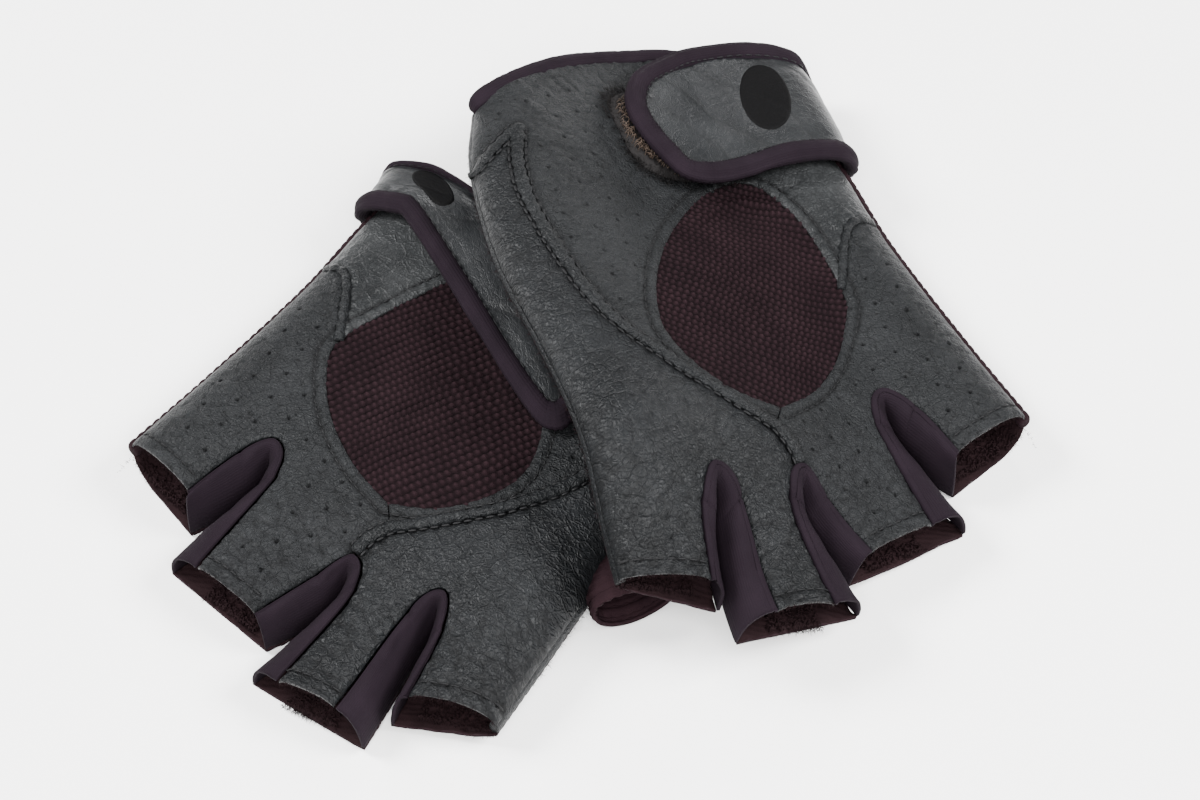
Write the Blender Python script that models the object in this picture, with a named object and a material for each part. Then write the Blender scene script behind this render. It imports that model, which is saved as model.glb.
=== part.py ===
"""A pair of half-finger training gloves, palms up, the right glove lying across the left one.

Each glove is designed flat, in pattern coordinates in millimetres: u runs across the hand from the thumb
side (negative) to the little-finger side (positive), v runs along the hand from the fingers (negative) to
the wrist (positive), and w is the height above the middle of the glove's thickness, palm side positive.
lay() then lays that pattern down at rest, and each glove's empty turns and places it in the row's frame.
The left glove is the mirror image of the right one.
"""

import math

import bmesh
import bpy
import numpy as np
from mathutils import Vector
from mathutils.geometry import delaunay_2d_cdt

MM = 0.001

# ---------------------------------------------------------------- driving dimensions, in millimetres
LEATHER = 1.6            # thickness of the palm leather with its lining
KNIT = 1.6               # thickness of the knitted back with its lining
GAP = 0.4                # width of the gap between two pieces that are sewn edge to edge
PALM_TOP = 9.5           # palm surface above the glove's middle
FINGER_TOP = 5.6         # the same at the finger ends
BACK_FLOOR = -8.0        # outer surface of the back below the glove's middle
REST_HEIGHT = 8.0        # middle of a glove that lies flat, above the surface it lies on
LEFT_PRESS = 0.69        # how far the right glove presses the left one's wrist flat
RIGHT_PRESS = 0.34       # how far the left glove pushes the right one's back up
MESH_STEP = 8.0          # spacing of the points inside a panel

LITTLE_EDGE = [(61.6, -3.5), (57.3, 22), (52.8, 56), (51.5, 84), (46, 118)]
THUMB_EDGE = [(-48.5, -24), (-48.8, -8), (-49.5, 28), (-51, 60), (-47.5, 89), (-41, 107)]
WRIST_LINE = [(-41, 107), (-10, 122), (16.6, 127), (32, 123), (46, 118)]

# The palm leather's edge around each gap between two fingers, and the slot in the back below it.
FINGER_GAPS = {
    "index_middle": {
        "leather": [(-29.5, -29), (-28.3, -12), (-24.2, -4.5), (-18.8, -12), (-17, -39)],
        "slot": [(-26.6, -32.5), (-24.6, -16), (-23.8, -9.5), (-23, -16), (-24.8, -40.3)]},
    "middle_ring": {
        "leather": [(-3, -39.5), (-6.2, -13), (-1.5, -6), (4, -13.5), (11.5, -27.5)],
        "slot": [(5.8, -38), (-0.8, -17), (-1.2, -11.5), (0.6, -17), (8.0, -29.5)]},
    "ring_little": {
        "leather": [(28.5, -24.5), (25.5, 3), (30.8, 11.5), (37, 5), (41.8, -9)],
        "slot": [(38.0, -22.8), (31.4, 0), (31.2, 6), (33, 0), (40.4, -12)]}}

GRIP_SEAM_V, HEEL_SEAM_V = 86, 62      # where these two seams leave the glove's side edges
GRIP_SEAM_TO_TIP = [(-44, 89), (-36, 95.5)]
GRIP_SEAM_TO_WINDOW = [(-36, 95.5), (-40, 82), (-41, 66), (-37, 38.5), (-27.5, 22.5), (-15, 11), (-5, 3)]
GRIP_SEAM_TO_GAP = [(-5, 3), (-2.5, -1.5), (-1.5, -6)]
HEEL_SEAM = [(43.7, 59.5), (34.3, 42)]
WRIST_JOIN = [(12, 79), (22, 103), (28, 124.2)]
WINDOW_JOIN = [(-1, 8.6), (-5, 3)]
# The knitted palm window: it starts at WINDOW_JOIN and runs round by the thumb side and the wrist.
WINDOW_THUMB_SIDE = [(-1, 8.6), (-12, 13), (-20.5, 21.5), (-23.5, 33), (-17.5, 49), (-4.5, 66)]
WINDOW_FINGER_SIDE = [(34.3, 42), (31.3, 32.5), (23.3, 22.3), (11.5, 13.5)]

LOOP_PATCH = {"centre": (10, 97.5), "half": (18, 15.5), "corner": 9}
STRAP_CENTRE = 99.5      # v of the strap's middle line
STRAP_HALF = 1.0         # half the thickness of the strap leather
STRAP_HEM = 5.5          # width of the binding round the strap
STRAP_HEM_HALF = 1.8     # half the thickness of that binding
STRAP_BASE_PATH = [(55.1, -3.2), (53.4, -5.6), (47, -7.0), (30, -7.2), (-20, -7.2)]

CUFF_START = 82

GLOVES = {
    "right": {
        "mirror": 1, "yaw": 20, "place": (43.5, -32.4),
        # the thumb half is raised, because it lies on the other glove
        "rise": 29.0, "rise_from": 30, "rise_over": 84, "finger_share": 0.55, "rise_start": -40,
        "rise_length": 50, "cuff_tuck": 0.0,
        "window_top": [(12, 79), (26, 80), (33.2, 65)],
        "strap_path": [(55, -2), (54.9, 3), (51, 10.2), (39.5, 14.6), (25, 15.4), (10, 14.8), (-6, 13.4)],
        "strap_skew": 0.0, "loop_height": 1.6, "hook_patch": (25, 0),
        # folded flat below the palm
        "thumb_end": (-16, 9), "thumb_across": (0.43, 0.9), "thumb_along": (-0.9, 0.43),
        "thumb_half": (12, 1.5),
        "thumb_w": -10.1, "thumb_wall": (1.0, 0.9), "thumb_length": 27,
        "strap_outline": [(0.6, -16), (9, -19.5), (32, -20.5), (62, -22), (70.5, -13), (73.5, 2),
                          (67, 14), (55, 20), (40, 22.5), (10, 18.5), (0.6, 16)]},
    "left": {
        "mirror": -1, "yaw": -30, "place": (-47.5, -50.4),
        "rise": 2.0, "rise_from": 15, "rise_over": 60, "finger_share": 0.4, "rise_start": -20,
        "rise_length": 40, "cuff_tuck": 0.7,
        "window_top": [(12, 72), (19.5, 73), (28.5, 57)],
        "strap_path": [(55, -2), (54.9, 3), (51, 9.8), (39.5, 13.9), (25, 14.3), (5, 13.9), (-14, 12.6),
                       (-27, 12.0)],
        # this strap is closed askew, so it runs towards the fingers as it crosses the palm
        "strap_skew": 0.62, "loop_height": 1.2, "hook_patch": (34, -3),
        # splayed, from the side edge outwards
        "thumb_end": (-57.5, 16.5), "thumb_across": (-0.66, 0.75), "thumb_along": (0.75, 0.66),
        "thumb_half": (8.0, 5.6), "thumb_w": -2.2, "thumb_wall": (1.0, 1.0), "thumb_length": None,
        "strap_outline": [(0.6, -16), (9, -19.5), (32, -19.5), (80, -20), (92, -17), (94, -8),
                          (87, 4), (72, 14), (45, 19.5), (10, 18.5), (0.6, 16)]}}

COLOURS = {
    "leather": (0.052, 0.056, 0.062), "worn_leather": (0.085, 0.088, 0.09),
    "knit": (0.033, 0.02, 0.024), "lycra": (0.034, 0.022, 0.032),
    "hook": (0.02, 0.02, 0.02), "emblem": (0.035, 0.032, 0.033)}


# ---------------------------------------------------------------- curves
def smooth(t):
    t = min(1.0, max(0.0, t))
    return t * t * (3 - 2 * t)


def spline(points, per_segment=4):
    """Points along a Catmull-Rom curve through the given points, both ends included."""
    ends = [2 * np.array(points[0]) - points[1], 2 * np.array(points[-1]) - points[-2]]
    knots = [ends[0]] + [np.array(p, float) for p in points] + [ends[1]]
    result = []
    for a, b, c, d in zip(knots, knots[1:], knots[2:], knots[3:]):
        for i in range(per_segment):
            t = i / per_segment
            result.append(0.5 * (2 * b + (c - a) * t + (2 * a - 5 * b + 4 * c - d) * t * t
                                 + (3 * b - a - 3 * c + d) * t ** 3))
    return result + [np.array(points[-1], float)]


def edge_at(edge, v):
    """The u of a side edge at v."""
    line = sorted(spline(edge), key=lambda p: p[1])
    return float(np.interp(v, [p[1] for p in line], [p[0] for p in line]))


def between(edge, start, end, steps):
    """Points along a side edge from one v to another."""
    return [np.array((edge_at(edge, v), v)) for v in np.linspace(start, end, steps)]


def join(*lines):
    """One outline from lines that meet end to end."""
    outline = []
    for line in lines:
        for point in line:
            if not outline or np.linalg.norm(point - outline[-1]) > 0.05:
                outline.append(np.array(point, float))
    if np.linalg.norm(outline[0] - outline[-1]) < 0.05:
        outline.pop()
    return outline


def inset(outline, amount):
    """The outline moved inwards, whichever way it runs."""
    count = len(outline)
    area = sum(np.cross(outline[i - 1], outline[i]) for i in range(count))
    side = 1 if area > 0 else -1
    result = []
    for i in range(count):
        before = outline[i] - outline[i - 1]
        after = outline[(i + 1) % count] - outline[i]
        before = before / np.linalg.norm(before)
        after = after / np.linalg.norm(after)
        normal = np.array((-before[1] - after[1], before[0] + after[0])) * side
        length = max(0.7, np.linalg.norm(normal))
        result.append(outline[i] + normal / length / (length / 2) * amount)
    return result


def divided(outline, longest):
    """The outline with its long sides divided, so that it can follow a bend."""
    result = []
    for start, end in zip(outline, outline[1:] + outline[:1]):
        pieces = max(1, math.ceil(np.linalg.norm(end - start) / longest))
        result += [start + (end - start) * i / pieces for i in range(pieces)]
    return result


def rounded_rectangle(centre, half, corner, steps=4):
    points = []
    for quarter, (sx, sy) in enumerate(((1, 1), (-1, 1), (-1, -1), (1, -1))):
        for i in range(steps + 1):
            angle = math.radians(90 * (quarter + i / steps))
            points.append(np.array((centre[0] + sx * (half[0] - corner) + corner * math.cos(angle),
                                    centre[1] + sy * (half[1] - corner) + corner * math.sin(angle))))
    return points


# ---------------------------------------------------------------- the glove's own surfaces
def side_roll(u, v, reach):
    """0 at a side edge, rising like a quarter circle to 1 at reach inside it."""
    inside = min(edge_at(LITTLE_EDGE, v) - u, u - edge_at(THUMB_EDGE, v)) / reach
    return math.sqrt(max(0.0, 1 - (1 - min(1.0, max(0.0, inside))) ** 2))


def seam_height(u):
    """The side seam between palm and back: low at the thumb side, high at the little finger."""
    return 0.5 if u > 0 else -3.0


def palm_top(u, v):
    crest = FINGER_TOP + (PALM_TOP - FINGER_TOP) * smooth((v + 35) / 40)
    edge = seam_height(u) + 0.3 + LEATHER
    return edge + (crest - edge) * side_roll(u, v, 12)


def back_bottom(u, v):
    floor = BACK_FLOOR + 1.8 * smooth((v - 72) / 6)
    edge = seam_height(u) - 0.3 - KNIT
    return edge + (floor - edge) * side_roll(u, v, 7)


def middle(glove, u, v):
    """Height of the glove's middle at rest, and how far the rise has drawn it in sideways."""
    share = glove["finger_share"]
    along = smooth((v - glove["rise_start"]) / glove["rise_length"])
    rise = glove["rise"] * (share + (1 - share) * along)
    t = min(1.0, max(0.0, (glove["rise_from"] - u) / glove["rise_over"]))
    drawn_in = 18 * rise * rise / glove["rise_over"] * (t ** 3 / 3 - t ** 4 / 2 + t ** 5 / 5)
    return REST_HEIGHT + rise * smooth(t), drawn_in


def across_right(u, v):
    """Where a point of the left glove's pattern lies across the right glove, in the right one's u."""
    left, right = GLOVES["left"], GLOVES["right"]
    turn = math.radians(left["yaw"])
    x = left["place"][0] - u * math.cos(turn) - v * math.sin(turn) - right["place"][0]
    y = left["place"][1] - u * math.sin(turn) + v * math.cos(turn) - right["place"][1]
    return x * math.cos(math.radians(right["yaw"])) + y * math.sin(math.radians(right["yaw"]))


def tucked(glove, v):
    """Where v lies at rest: the left glove's cuff is pushed together towards the fingers."""
    beyond = max(0.0, v - CUFF_START)
    reach = min(beyond, 8.0)
    return v - glove["cuff_tuck"] * (beyond - reach + reach * reach / 16)


def squeezed(glove, u, v, w):
    """The left glove is pressed flat under the right one, and the right one's back is pushed up."""
    if glove is GLOVES["left"]:
        thickness = 1 - LEFT_PRESS * smooth((across_right(u, tucked(glove, v)) + 24) / 42)
        return BACK_FLOOR + (w - BACK_FLOOR) * thickness
    thickness = 1 - RIGHT_PRESS * smooth((40 - u) / 25) * smooth((v + 10) / 30)
    return PALM_TOP + (w - PALM_TOP) * (thickness if w < PALM_TOP else 1)


def lay(glove, u, v, w):
    """A pattern point laid down at rest, in metres, before the glove is turned and placed."""
    height, drawn_in = middle(glove, u, v)
    slope_u = middle(glove, u + 0.5, v)[0] - middle(glove, u - 0.5, v)[0]
    slope_v = middle(glove, u, v + 0.5)[0] - middle(glove, u, v - 0.5)[0]
    normal = Vector((-slope_u, -slope_v, 1)).normalized()
    point = Vector((u + drawn_in, tucked(glove, v), height)) + normal * squeezed(glove, u, v, w)
    point.x *= glove["mirror"]
    return point * MM


# ---------------------------------------------------------------- solids
def triangulate(outline, step):
    """Triangles that fill an outline, with a staggered grid of points inside it."""
    count = len(outline)
    points = [Vector(p) for p in outline]
    low = np.min(outline, axis=0)
    high = np.max(outline, axis=0)
    corners = np.array(outline)
    following = np.roll(corners, -1, axis=0)
    row = 0
    y = low[1] + step / 2
    while y < high[1]:
        x = low[0] + step * (0.25 if row % 2 else 0.75)
        while x < high[0]:
            spot = np.array((x, y))
            edge = following - corners
            t = np.clip(np.sum((spot - corners) * edge, 1) / np.sum(edge * edge, 1), 0, 1)
            nearest = np.min(np.linalg.norm(corners + edge * t[:, None] - spot, axis=1))
            crossing = (corners[:, 1] > y) != (following[:, 1] > y)
            at = corners[:, 0] + (y - corners[:, 1]) / np.where(crossing, edge[:, 1], 1) * edge[:, 0]
            if np.count_nonzero(crossing & (at > x)) % 2 and nearest > 0.55 * step:
                points.append(Vector(spot))
            x += step
        y += step * 0.87
        row += 1
    flat, _, faces, _, _, _ = delaunay_2d_cdt(points, [], [list(range(count))], 1, 1e-5)
    return flat, [f for f in faces if len(f) == 3]


def finish(name, mesh, frame, colour):
    """An object for a closed mesh in its frame's own space, with its faces pointing out."""
    bmesh.ops.recalc_face_normals(mesh, faces=mesh.faces)
    data = bpy.data.meshes.new(name)
    mesh.to_mesh(data)
    mesh.free()
    data.shade_smooth()
    data.set_sharp_from_angle(angle=math.radians(50))
    data.materials.append(material(colour))
    piece = bpy.data.objects.new(name, data)
    bpy.context.scene.collection.objects.link(piece)
    piece.parent = frame
    return piece


def slab(outline, place, top, bottom, step=MESH_STEP):
    """A closed sheet over an outline. place(a, b, height) gives a point for either surface."""
    flat, faces = triangulate(outline, step)
    mesh = bmesh.new()
    upper = [mesh.verts.new(place(p[0], p[1], top(p[0], p[1]))) for p in flat]
    lower = [mesh.verts.new(place(p[0], p[1], bottom(p[0], p[1]))) for p in flat]
    for face in faces:
        mesh.faces.new([upper[i] for i in face])
    rim = [(e.verts[0].index, e.verts[1].index) for e in indexed(mesh).edges if len(e.link_faces) == 1]
    for face in faces:
        mesh.faces.new([lower[i] for i in reversed(face)])
    for a, b in rim:
        mesh.faces.new([upper[a], upper[b], lower[b], lower[a]])
    return mesh


def indexed(mesh):
    mesh.verts.index_update()
    mesh.verts.ensure_lookup_table()
    mesh.edges.ensure_lookup_table()
    return mesh


def loft(sections, closed):
    """A closed solid through a row of sections, each a ring of points."""
    mesh = bmesh.new()
    rings = [[mesh.verts.new(point) for point in section] for section in sections]
    pairs = list(zip(rings, rings[1:]))
    if closed:
        pairs.append((rings[-1], rings[0]))
    count = len(rings[0])
    for one, two in pairs:
        for i in range(count):
            j = (i + 1) % count
            mesh.faces.new([one[i], one[j], two[j], two[i]])
    if not closed:
        mesh.faces.new(rings[0])
        mesh.faces.new(list(reversed(rings[-1])))
    return mesh


def material(name):
    found = bpy.data.materials.get(name)
    if found:
        return found
    made = bpy.data.materials.new(name)
    made.use_nodes = True
    shader = made.node_tree.nodes["Principled BSDF"]
    shader.inputs["Base Color"].default_value = (*COLOURS[name], 1)
    shader.inputs["Roughness"].default_value = 0.5 if "leather" in name else 0.85
    made.diffuse_color = (*COLOURS[name], 1)
    return made


# ---------------------------------------------------------------- one glove, piece by piece
def window_parts(glove):
    """The window's outline in three parts: thumb side, heel side and finger side."""
    points = WINDOW_THUMB_SIDE + glove["window_top"] + WINDOW_FINGER_SIDE
    first = len(WINDOW_THUMB_SIDE) * 4
    second = (len(WINDOW_THUMB_SIDE) + len(glove["window_top"])) * 4
    whole = spline(points + points[:1])
    return whole[:first + 1], whole[first:second + 1], whole[second:]


def palm_outlines(glove):
    thumb_side, heel_side, finger_side = window_parts(glove)
    leather = {name: spline(gap["leather"]) for name, gap in FINGER_GAPS.items()}
    middle_of_gap = len(leather["middle_ring"]) // 2
    to_tip = spline([(edge_at(THUMB_EDGE, GRIP_SEAM_V), GRIP_SEAM_V)] + GRIP_SEAM_TO_TIP)
    to_window = spline(GRIP_SEAM_TO_WINDOW)
    to_gap = spline(GRIP_SEAM_TO_GAP)
    heel = spline([(edge_at(LITTLE_EDGE, HEEL_SEAM_V), HEEL_SEAM_V)] + HEEL_SEAM)
    wrist_join = spline([tuple(thumb_side[-1])] + WRIST_JOIN[1:])
    wrist = spline(WRIST_LINE)
    split = min(range(len(wrist)), key=lambda i: np.linalg.norm(wrist[i] - wrist_join[-1]))
    wrist_join[-1] = wrist[split]
    window_join = spline(WINDOW_JOIN, 1)
    return {
        "wrist_panel": join(between(THUMB_EDGE, 107, GRIP_SEAM_V, 4), to_tip, to_window,
                            reversed(window_join), thumb_side, wrist_join, reversed(wrist[:split + 1])),
        "grip_panel": join(between(THUMB_EDGE, GRIP_SEAM_V, -24, 12), leather["index_middle"],
                           leather["middle_ring"][:middle_of_gap + 1], reversed(to_gap),
                           reversed(to_window), reversed(to_tip)),
        "finger_panel": join(leather["middle_ring"][middle_of_gap:], leather["ring_little"],
                             between(LITTLE_EDGE, -3.5, HEEL_SEAM_V, 8), heel, finger_side,
                             window_join, to_gap),
        "heel_strip": join(reversed(heel), between(LITTLE_EDGE, HEEL_SEAM_V, 118, 7),
                           reversed(wrist[split:]), reversed(wrist_join), heel_side)}


def palm_leather(prefix, glove, frame):
    def place(u, v, w):
        return lay(glove, u, v, w)

    for name, outline in palm_outlines(glove).items():
        sheet = slab(inset(outline, GAP / 2), place, palm_top, lambda u, v: palm_top(u, v) - LEATHER)
        finish(prefix + name, sheet, frame, "worn_leather" if name == "heel_strip" else "leather")
    window = join(*window_parts(glove))
    sheet = slab(inset(window, GAP), place, lambda u, v: palm_top(u, v) - 0.5,
                 lambda u, v: palm_top(u, v) - 0.5 - KNIT)
    finish(prefix + "palm_window", sheet, frame, "knit")


def back_panel(prefix, glove, frame):
    slots = [spline(gap["slot"]) for gap in FINGER_GAPS.values()]
    outline = join(between(THUMB_EDGE, 107, -24, 14), *slots, between(LITTLE_EDGE, -3.5, 118, 14),
                   reversed(spline(WRIST_LINE)))
    sheet = slab(outline, lambda u, v, w: lay(glove, u, v, w),
                 lambda u, v: back_bottom(u, v) + KNIT, back_bottom)
    finish(prefix + "back_panel", sheet, frame, "knit")


def fourchettes(prefix, glove, frame):
    """The stretch strips between the fingers: each stands on a slot of the back and meets the leather."""
    wall = 1.1
    for name, gap in FINGER_GAPS.items():
        leather = spline(gap["leather"])
        slot = spline(gap["slot"])
        sections = []
        for i, (edge, foot) in enumerate(zip(leather, slot)):
            along = leather[min(i + 1, len(leather) - 1)] - leather[max(i - 1, 0)]
            outwards = np.array((-along[1], along[0])) / np.linalg.norm(along)
            top = palm_top(*edge) - 0.3
            base = BACK_FLOOR + KNIT + 0.4
            brim = edge - outwards * (GAP + wall)
            sections.append([lay(glove, *brim, top), lay(glove, *foot, base),
                             lay(glove, *(foot + outwards * wall), base),
                             lay(glove, *(brim + outwards * wall), top)])
        finish(prefix + "fourchette_" + name, loft(sections, False), frame, "lycra")


def thumb_stall(prefix, glove, frame):
    """The thumb's knitted tube: splayed on the left glove, folded flat below the palm on the right one."""
    sides = 16
    edge_u = edge_at(THUMB_EDGE, 20) - 1.0
    across, along = np.array(glove["thumb_across"]), np.array(glove["thumb_along"])
    sections = []
    for i in range(sides):
        angle = 2 * math.pi * i / sides
        corners = []
        for shell in (0, 1):
            half_width, half_height = (half - shell * wall for half, wall
                                       in zip(glove["thumb_half"], glove["thumb_wall"]))
            end = glove["thumb_end"] + across * half_width * math.cos(angle)
            w = glove["thumb_w"] + half_height * math.sin(angle)
            # a splayed stall starts at the glove's side edge
            length = glove["thumb_length"] or (edge_u - end[0]) / along[0]
            ends = [lay(glove, *end, w), lay(glove, *(end + along * length), w)]
            corners += reversed(ends) if shell else ends
        sections.append(corners)
    finish(prefix + "thumb_stall", loft(sections, True), frame, "knit")


def wrist_binding(prefix, glove, frame):
    """A narrow rolled hem round the wrist opening."""
    steps, sides, radius = 28, 6, 1.6
    line = spline(WRIST_LINE)
    centre = [(line[0][0] + line[-1][0]) / 2, 1.2]
    half = [(line[-1][0] - line[0][0]) / 2 - 0.4, 7.3]

    def along(i):
        angle = 2 * math.pi * i / steps
        u, w = (c + h * math.copysign(abs(f) ** 0.7, f)
                for c, h, f in zip(centre, half, (math.cos(angle), math.sin(angle))))
        v = np.interp(u, [p[0] for p in line], [p[1] for p in line]) + radius + 0.5
        return np.array((u, v, w))

    sections = []
    for i in range(steps):
        spot = along(i)
        ahead = along(i + 1) - along(i - 1)
        ahead /= np.linalg.norm(ahead)
        out = np.cross(ahead, (0, 1, 0))
        out /= np.linalg.norm(out)
        side = np.cross(ahead, out)
        ring = []
        for k in range(sides):
            turn = 2 * math.pi * k / sides
            ring.append(lay(glove, *(spot + radius * (out * math.cos(turn) + side * math.sin(turn)))))
        sections.append(ring)
    finish(prefix + "wrist_binding", loft(sections, True), frame, "lycra")


def path_place(glove, path, skew):
    """A placing function for a band: s along the path, q across it, n out of it."""
    line = spline(path, 6)
    lengths = np.concatenate(([0], np.cumsum([np.linalg.norm(b - a) for a, b in zip(line, line[1:])])))

    def at(s):
        return np.array([np.interp(s, lengths, [p[i] for p in line]) for i in (0, 1)])

    def place(s, q, n):
        spot = at(s)
        ahead = at(min(s + 0.5, lengths[-1])) - at(max(s - 0.5, 0))
        ahead /= np.linalg.norm(ahead)
        drift = -skew * max(0.0, s - 24)
        return lay(glove, spot[0] + n * ahead[1], STRAP_CENTRE + q + drift, spot[1] - n * ahead[0])

    return place, lengths[-1]


def strap(prefix, glove, frame):
    """The strap that turns over the little-finger edge, with its hem, emblem and hook patch."""
    place, length = path_place(glove, glove["strap_path"], glove["strap_skew"])
    edge = spline(glove["strap_outline"], 3)
    reach = max(p[0] for p in edge)
    edge = [np.array((p[0] * (length - 0.5) / reach, p[1])) for p in edge]
    inner = inset(edge, STRAP_HEM)
    inner[0][0] = inner[-1][0] = edge[0][0]
    leather = slab(divided(inset(inner, 0.3), 5), place, lambda s, q: STRAP_HALF, lambda s, q: -STRAP_HALF)
    finish(prefix + "strap", leather, frame, "worn_leather")
    hem = slab(divided(edge + list(reversed(inner)), 6), place, lambda s, q: STRAP_HEM_HALF,
               lambda s, q: -STRAP_HEM_HALF)
    finish(prefix + "strap_binding", hem, frame, "lycra")
    emblem = [np.array((26 + 6 * math.cos(a) - 2.5 * math.sin(a), 1 + 11.5 * math.sin(a)))
              for a in np.linspace(0, 2 * math.pi, 21)[:-1]]
    plate = slab(emblem, place, lambda s, q: STRAP_HALF + 0.7, lambda s, q: STRAP_HALF + 0.3, 6)
    finish(prefix + "strap_emblem", plate, frame, "emblem")
    back, across = glove["hook_patch"]
    patch = rounded_rectangle((length - back, across), (10, 10), 4)
    hook = slab(patch, place, lambda s, q: -STRAP_HALF - 0.3, lambda s, q: -STRAP_HALF - 1.1)
    finish(prefix + "hook_patch", hook, frame, "hook")


def strap_base(prefix, glove, frame):
    """The fixed half of the strap, sewn across the back of the wrist."""
    place, length = path_place(glove, STRAP_BASE_PATH, 0.0)
    outline = [np.array(p) for p in ((0.3, -15.5), (length, -16.5), (length, 14), (0.3, 15.5))]
    band = slab(divided(outline, 4), place, lambda s, q: 0.6, lambda s, q: -0.6, 5)
    finish(prefix + "strap_base", band, frame, "lycra")


def loop_patch(prefix, glove, frame):
    """The looped pile on the palm side of the wrist, which the hook patch grips."""
    patch = slab(rounded_rectangle(LOOP_PATCH["centre"], LOOP_PATCH["half"], LOOP_PATCH["corner"]),
                 lambda u, v, w: lay(glove, u, v, w),
                 lambda u, v: palm_top(u, v) + 0.3 + glove["loop_height"],
                 lambda u, v: palm_top(u, v) + 0.3)
    finish(prefix + "loop_patch", patch, frame, "hook")


def build_glove(side, glove):
    prefix = side + "_"
    frame = bpy.data.objects.new(prefix + "glove_frame", None)
    bpy.context.scene.collection.objects.link(frame)
    frame.rotation_euler.z = math.radians(glove["yaw"])
    frame.location = Vector((*glove["place"], 0)) * MM
    palm_leather(prefix, glove, frame)
    back_panel(prefix, glove, frame)
    fourchettes(prefix, glove, frame)
    thumb_stall(prefix, glove, frame)
    wrist_binding(prefix, glove, frame)
    strap_base(prefix, glove, frame)
    loop_patch(prefix, glove, frame)
    strap(prefix, glove, frame)


def main():
    for item in list(bpy.data.objects):
        bpy.data.objects.remove(item)
    for side, glove in GLOVES.items():
        build_glove(side, glove)


main()
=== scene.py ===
"""The looks of a pair of half-finger training gloves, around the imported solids.

The gloves are sewn from flat pieces, so every piece is made in pattern coordinates, in millimetres: u runs
across the hand from the thumb side (negative) to the little-finger side, v runs along the hand from the
fingers (negative) to the wrist, and w is the height above the middle of the glove, palm side positive.
lay() puts a pattern point where the glove lies at rest, in metres.
"""

import math

import bpy
import numpy as np
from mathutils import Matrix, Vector
from mathutils.geometry import delaunay_2d_cdt


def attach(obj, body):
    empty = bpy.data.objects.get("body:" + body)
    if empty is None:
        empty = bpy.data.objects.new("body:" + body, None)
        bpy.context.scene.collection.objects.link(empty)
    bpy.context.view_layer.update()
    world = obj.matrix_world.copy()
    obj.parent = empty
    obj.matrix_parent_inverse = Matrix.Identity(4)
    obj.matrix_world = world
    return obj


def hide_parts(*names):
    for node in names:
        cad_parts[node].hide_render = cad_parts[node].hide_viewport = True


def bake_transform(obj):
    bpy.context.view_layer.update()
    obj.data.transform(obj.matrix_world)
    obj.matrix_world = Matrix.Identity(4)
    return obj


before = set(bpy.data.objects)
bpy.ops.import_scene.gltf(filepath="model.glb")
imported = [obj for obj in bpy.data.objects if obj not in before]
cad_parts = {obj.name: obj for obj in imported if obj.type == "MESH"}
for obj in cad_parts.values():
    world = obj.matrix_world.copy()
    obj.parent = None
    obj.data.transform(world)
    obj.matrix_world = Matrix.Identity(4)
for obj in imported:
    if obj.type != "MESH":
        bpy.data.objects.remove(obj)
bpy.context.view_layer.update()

MM = 0.001

# ---------------------------------------------------------------- the pattern, as in the solids
# thicknesses, the heights of the palm, of the finger ends and of the back, and of the middle above the floor
LEATHER = 1.3
KNIT = 1.6
PALM_TOP = 9.5
FINGER_TOP = 5.6
BACK_FLOOR = -8.0
REST_HEIGHT = 8.0
# how much of each glove's thickness is pressed away where the right glove lies on the left one
LEFT_PRESS = 0.69
RIGHT_PRESS = 0.34
# half the gap between leather and back at their seam, how high the leather rises there,
# how far it drops into the finger gaps, and how much the back lifts at the cuff
SEAM_GAP = 0.3
PALM_EDGE = 1.6
FINGER_DROP = 2.3
CUFF_LIFT = 1.8
# how far in from the side edges the leather and the back curve round
LEATHER_ROLL = 12
BACK_ROLL = 7

LITTLE_EDGE = [(61.6, -3.5), (57.3, 22), (52.8, 56), (51.5, 84), (46, 118)]
THUMB_EDGE = [(-48.5, -24), (-48.8, -8), (-49.5, 28), (-51, 60), (-47.5, 89), (-41, 107)]
THUMB_SPAN = (-24, 107)
LITTLE_SPAN = (-3.5, 118)
WRIST_LINE = [(-41, 107), (-10, 122), (16.6, 127), (32, 123), (46, 118)]
FINGER_GAPS = {
    "index_middle": {
        "leather": [(-29.5, -29), (-28.3, -12), (-24.2, -4.5), (-18.8, -12), (-17, -39)],
        "slot": [(-26.6, -32.5), (-24.6, -16), (-23.8, -9.5), (-23, -16), (-24.8, -40.3)]},
    "middle_ring": {
        "leather": [(-3, -39.5), (-6.2, -13), (-1.5, -6), (4, -13.5), (11.5, -27.5)],
        "slot": [(5.8, -38), (-0.8, -17), (-1.2, -11.5), (0.6, -17), (8.0, -29.5)]},
    "ring_little": {
        "leather": [(28.5, -24.5), (25.5, 3), (30.8, 11.5), (37, 5), (41.8, -9)],
        "slot": [(38.0, -22.8), (31.4, 0), (31.2, 6), (33, 0), (40.4, -12)]}}
FINGER_ENDS = [[(-48.5, -24), (-29.5, -29)], [(-17, -39), (-3, -39.5)], [(11.5, -27.5), (28.5, -24.5)],
               [(41.8, -9), (61.6, -3.5)]]
GRIP_SEAM_V, HEEL_SEAM_V = 86, 62
GRIP_SEAM_TO_TIP = [(-44, 89), (-36, 95.5)]
GRIP_SEAM_TO_WINDOW = [(-36, 95.5), (-40, 82), (-41, 66), (-37, 38.5), (-27.5, 22.5), (-15, 11), (-5, 3)]
GRIP_SEAM_TO_GAP = [(-5, 3), (-2.5, -1.5), (-1.5, -6)]
HEEL_SEAM = [(43.7, 59.5), (34.3, 42)]
WRIST_JOIN = [(12, 79), (22, 103), (28, 124.2)]
WINDOW_JOIN = [(-1, 8.6), (-5, 3)]
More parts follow.
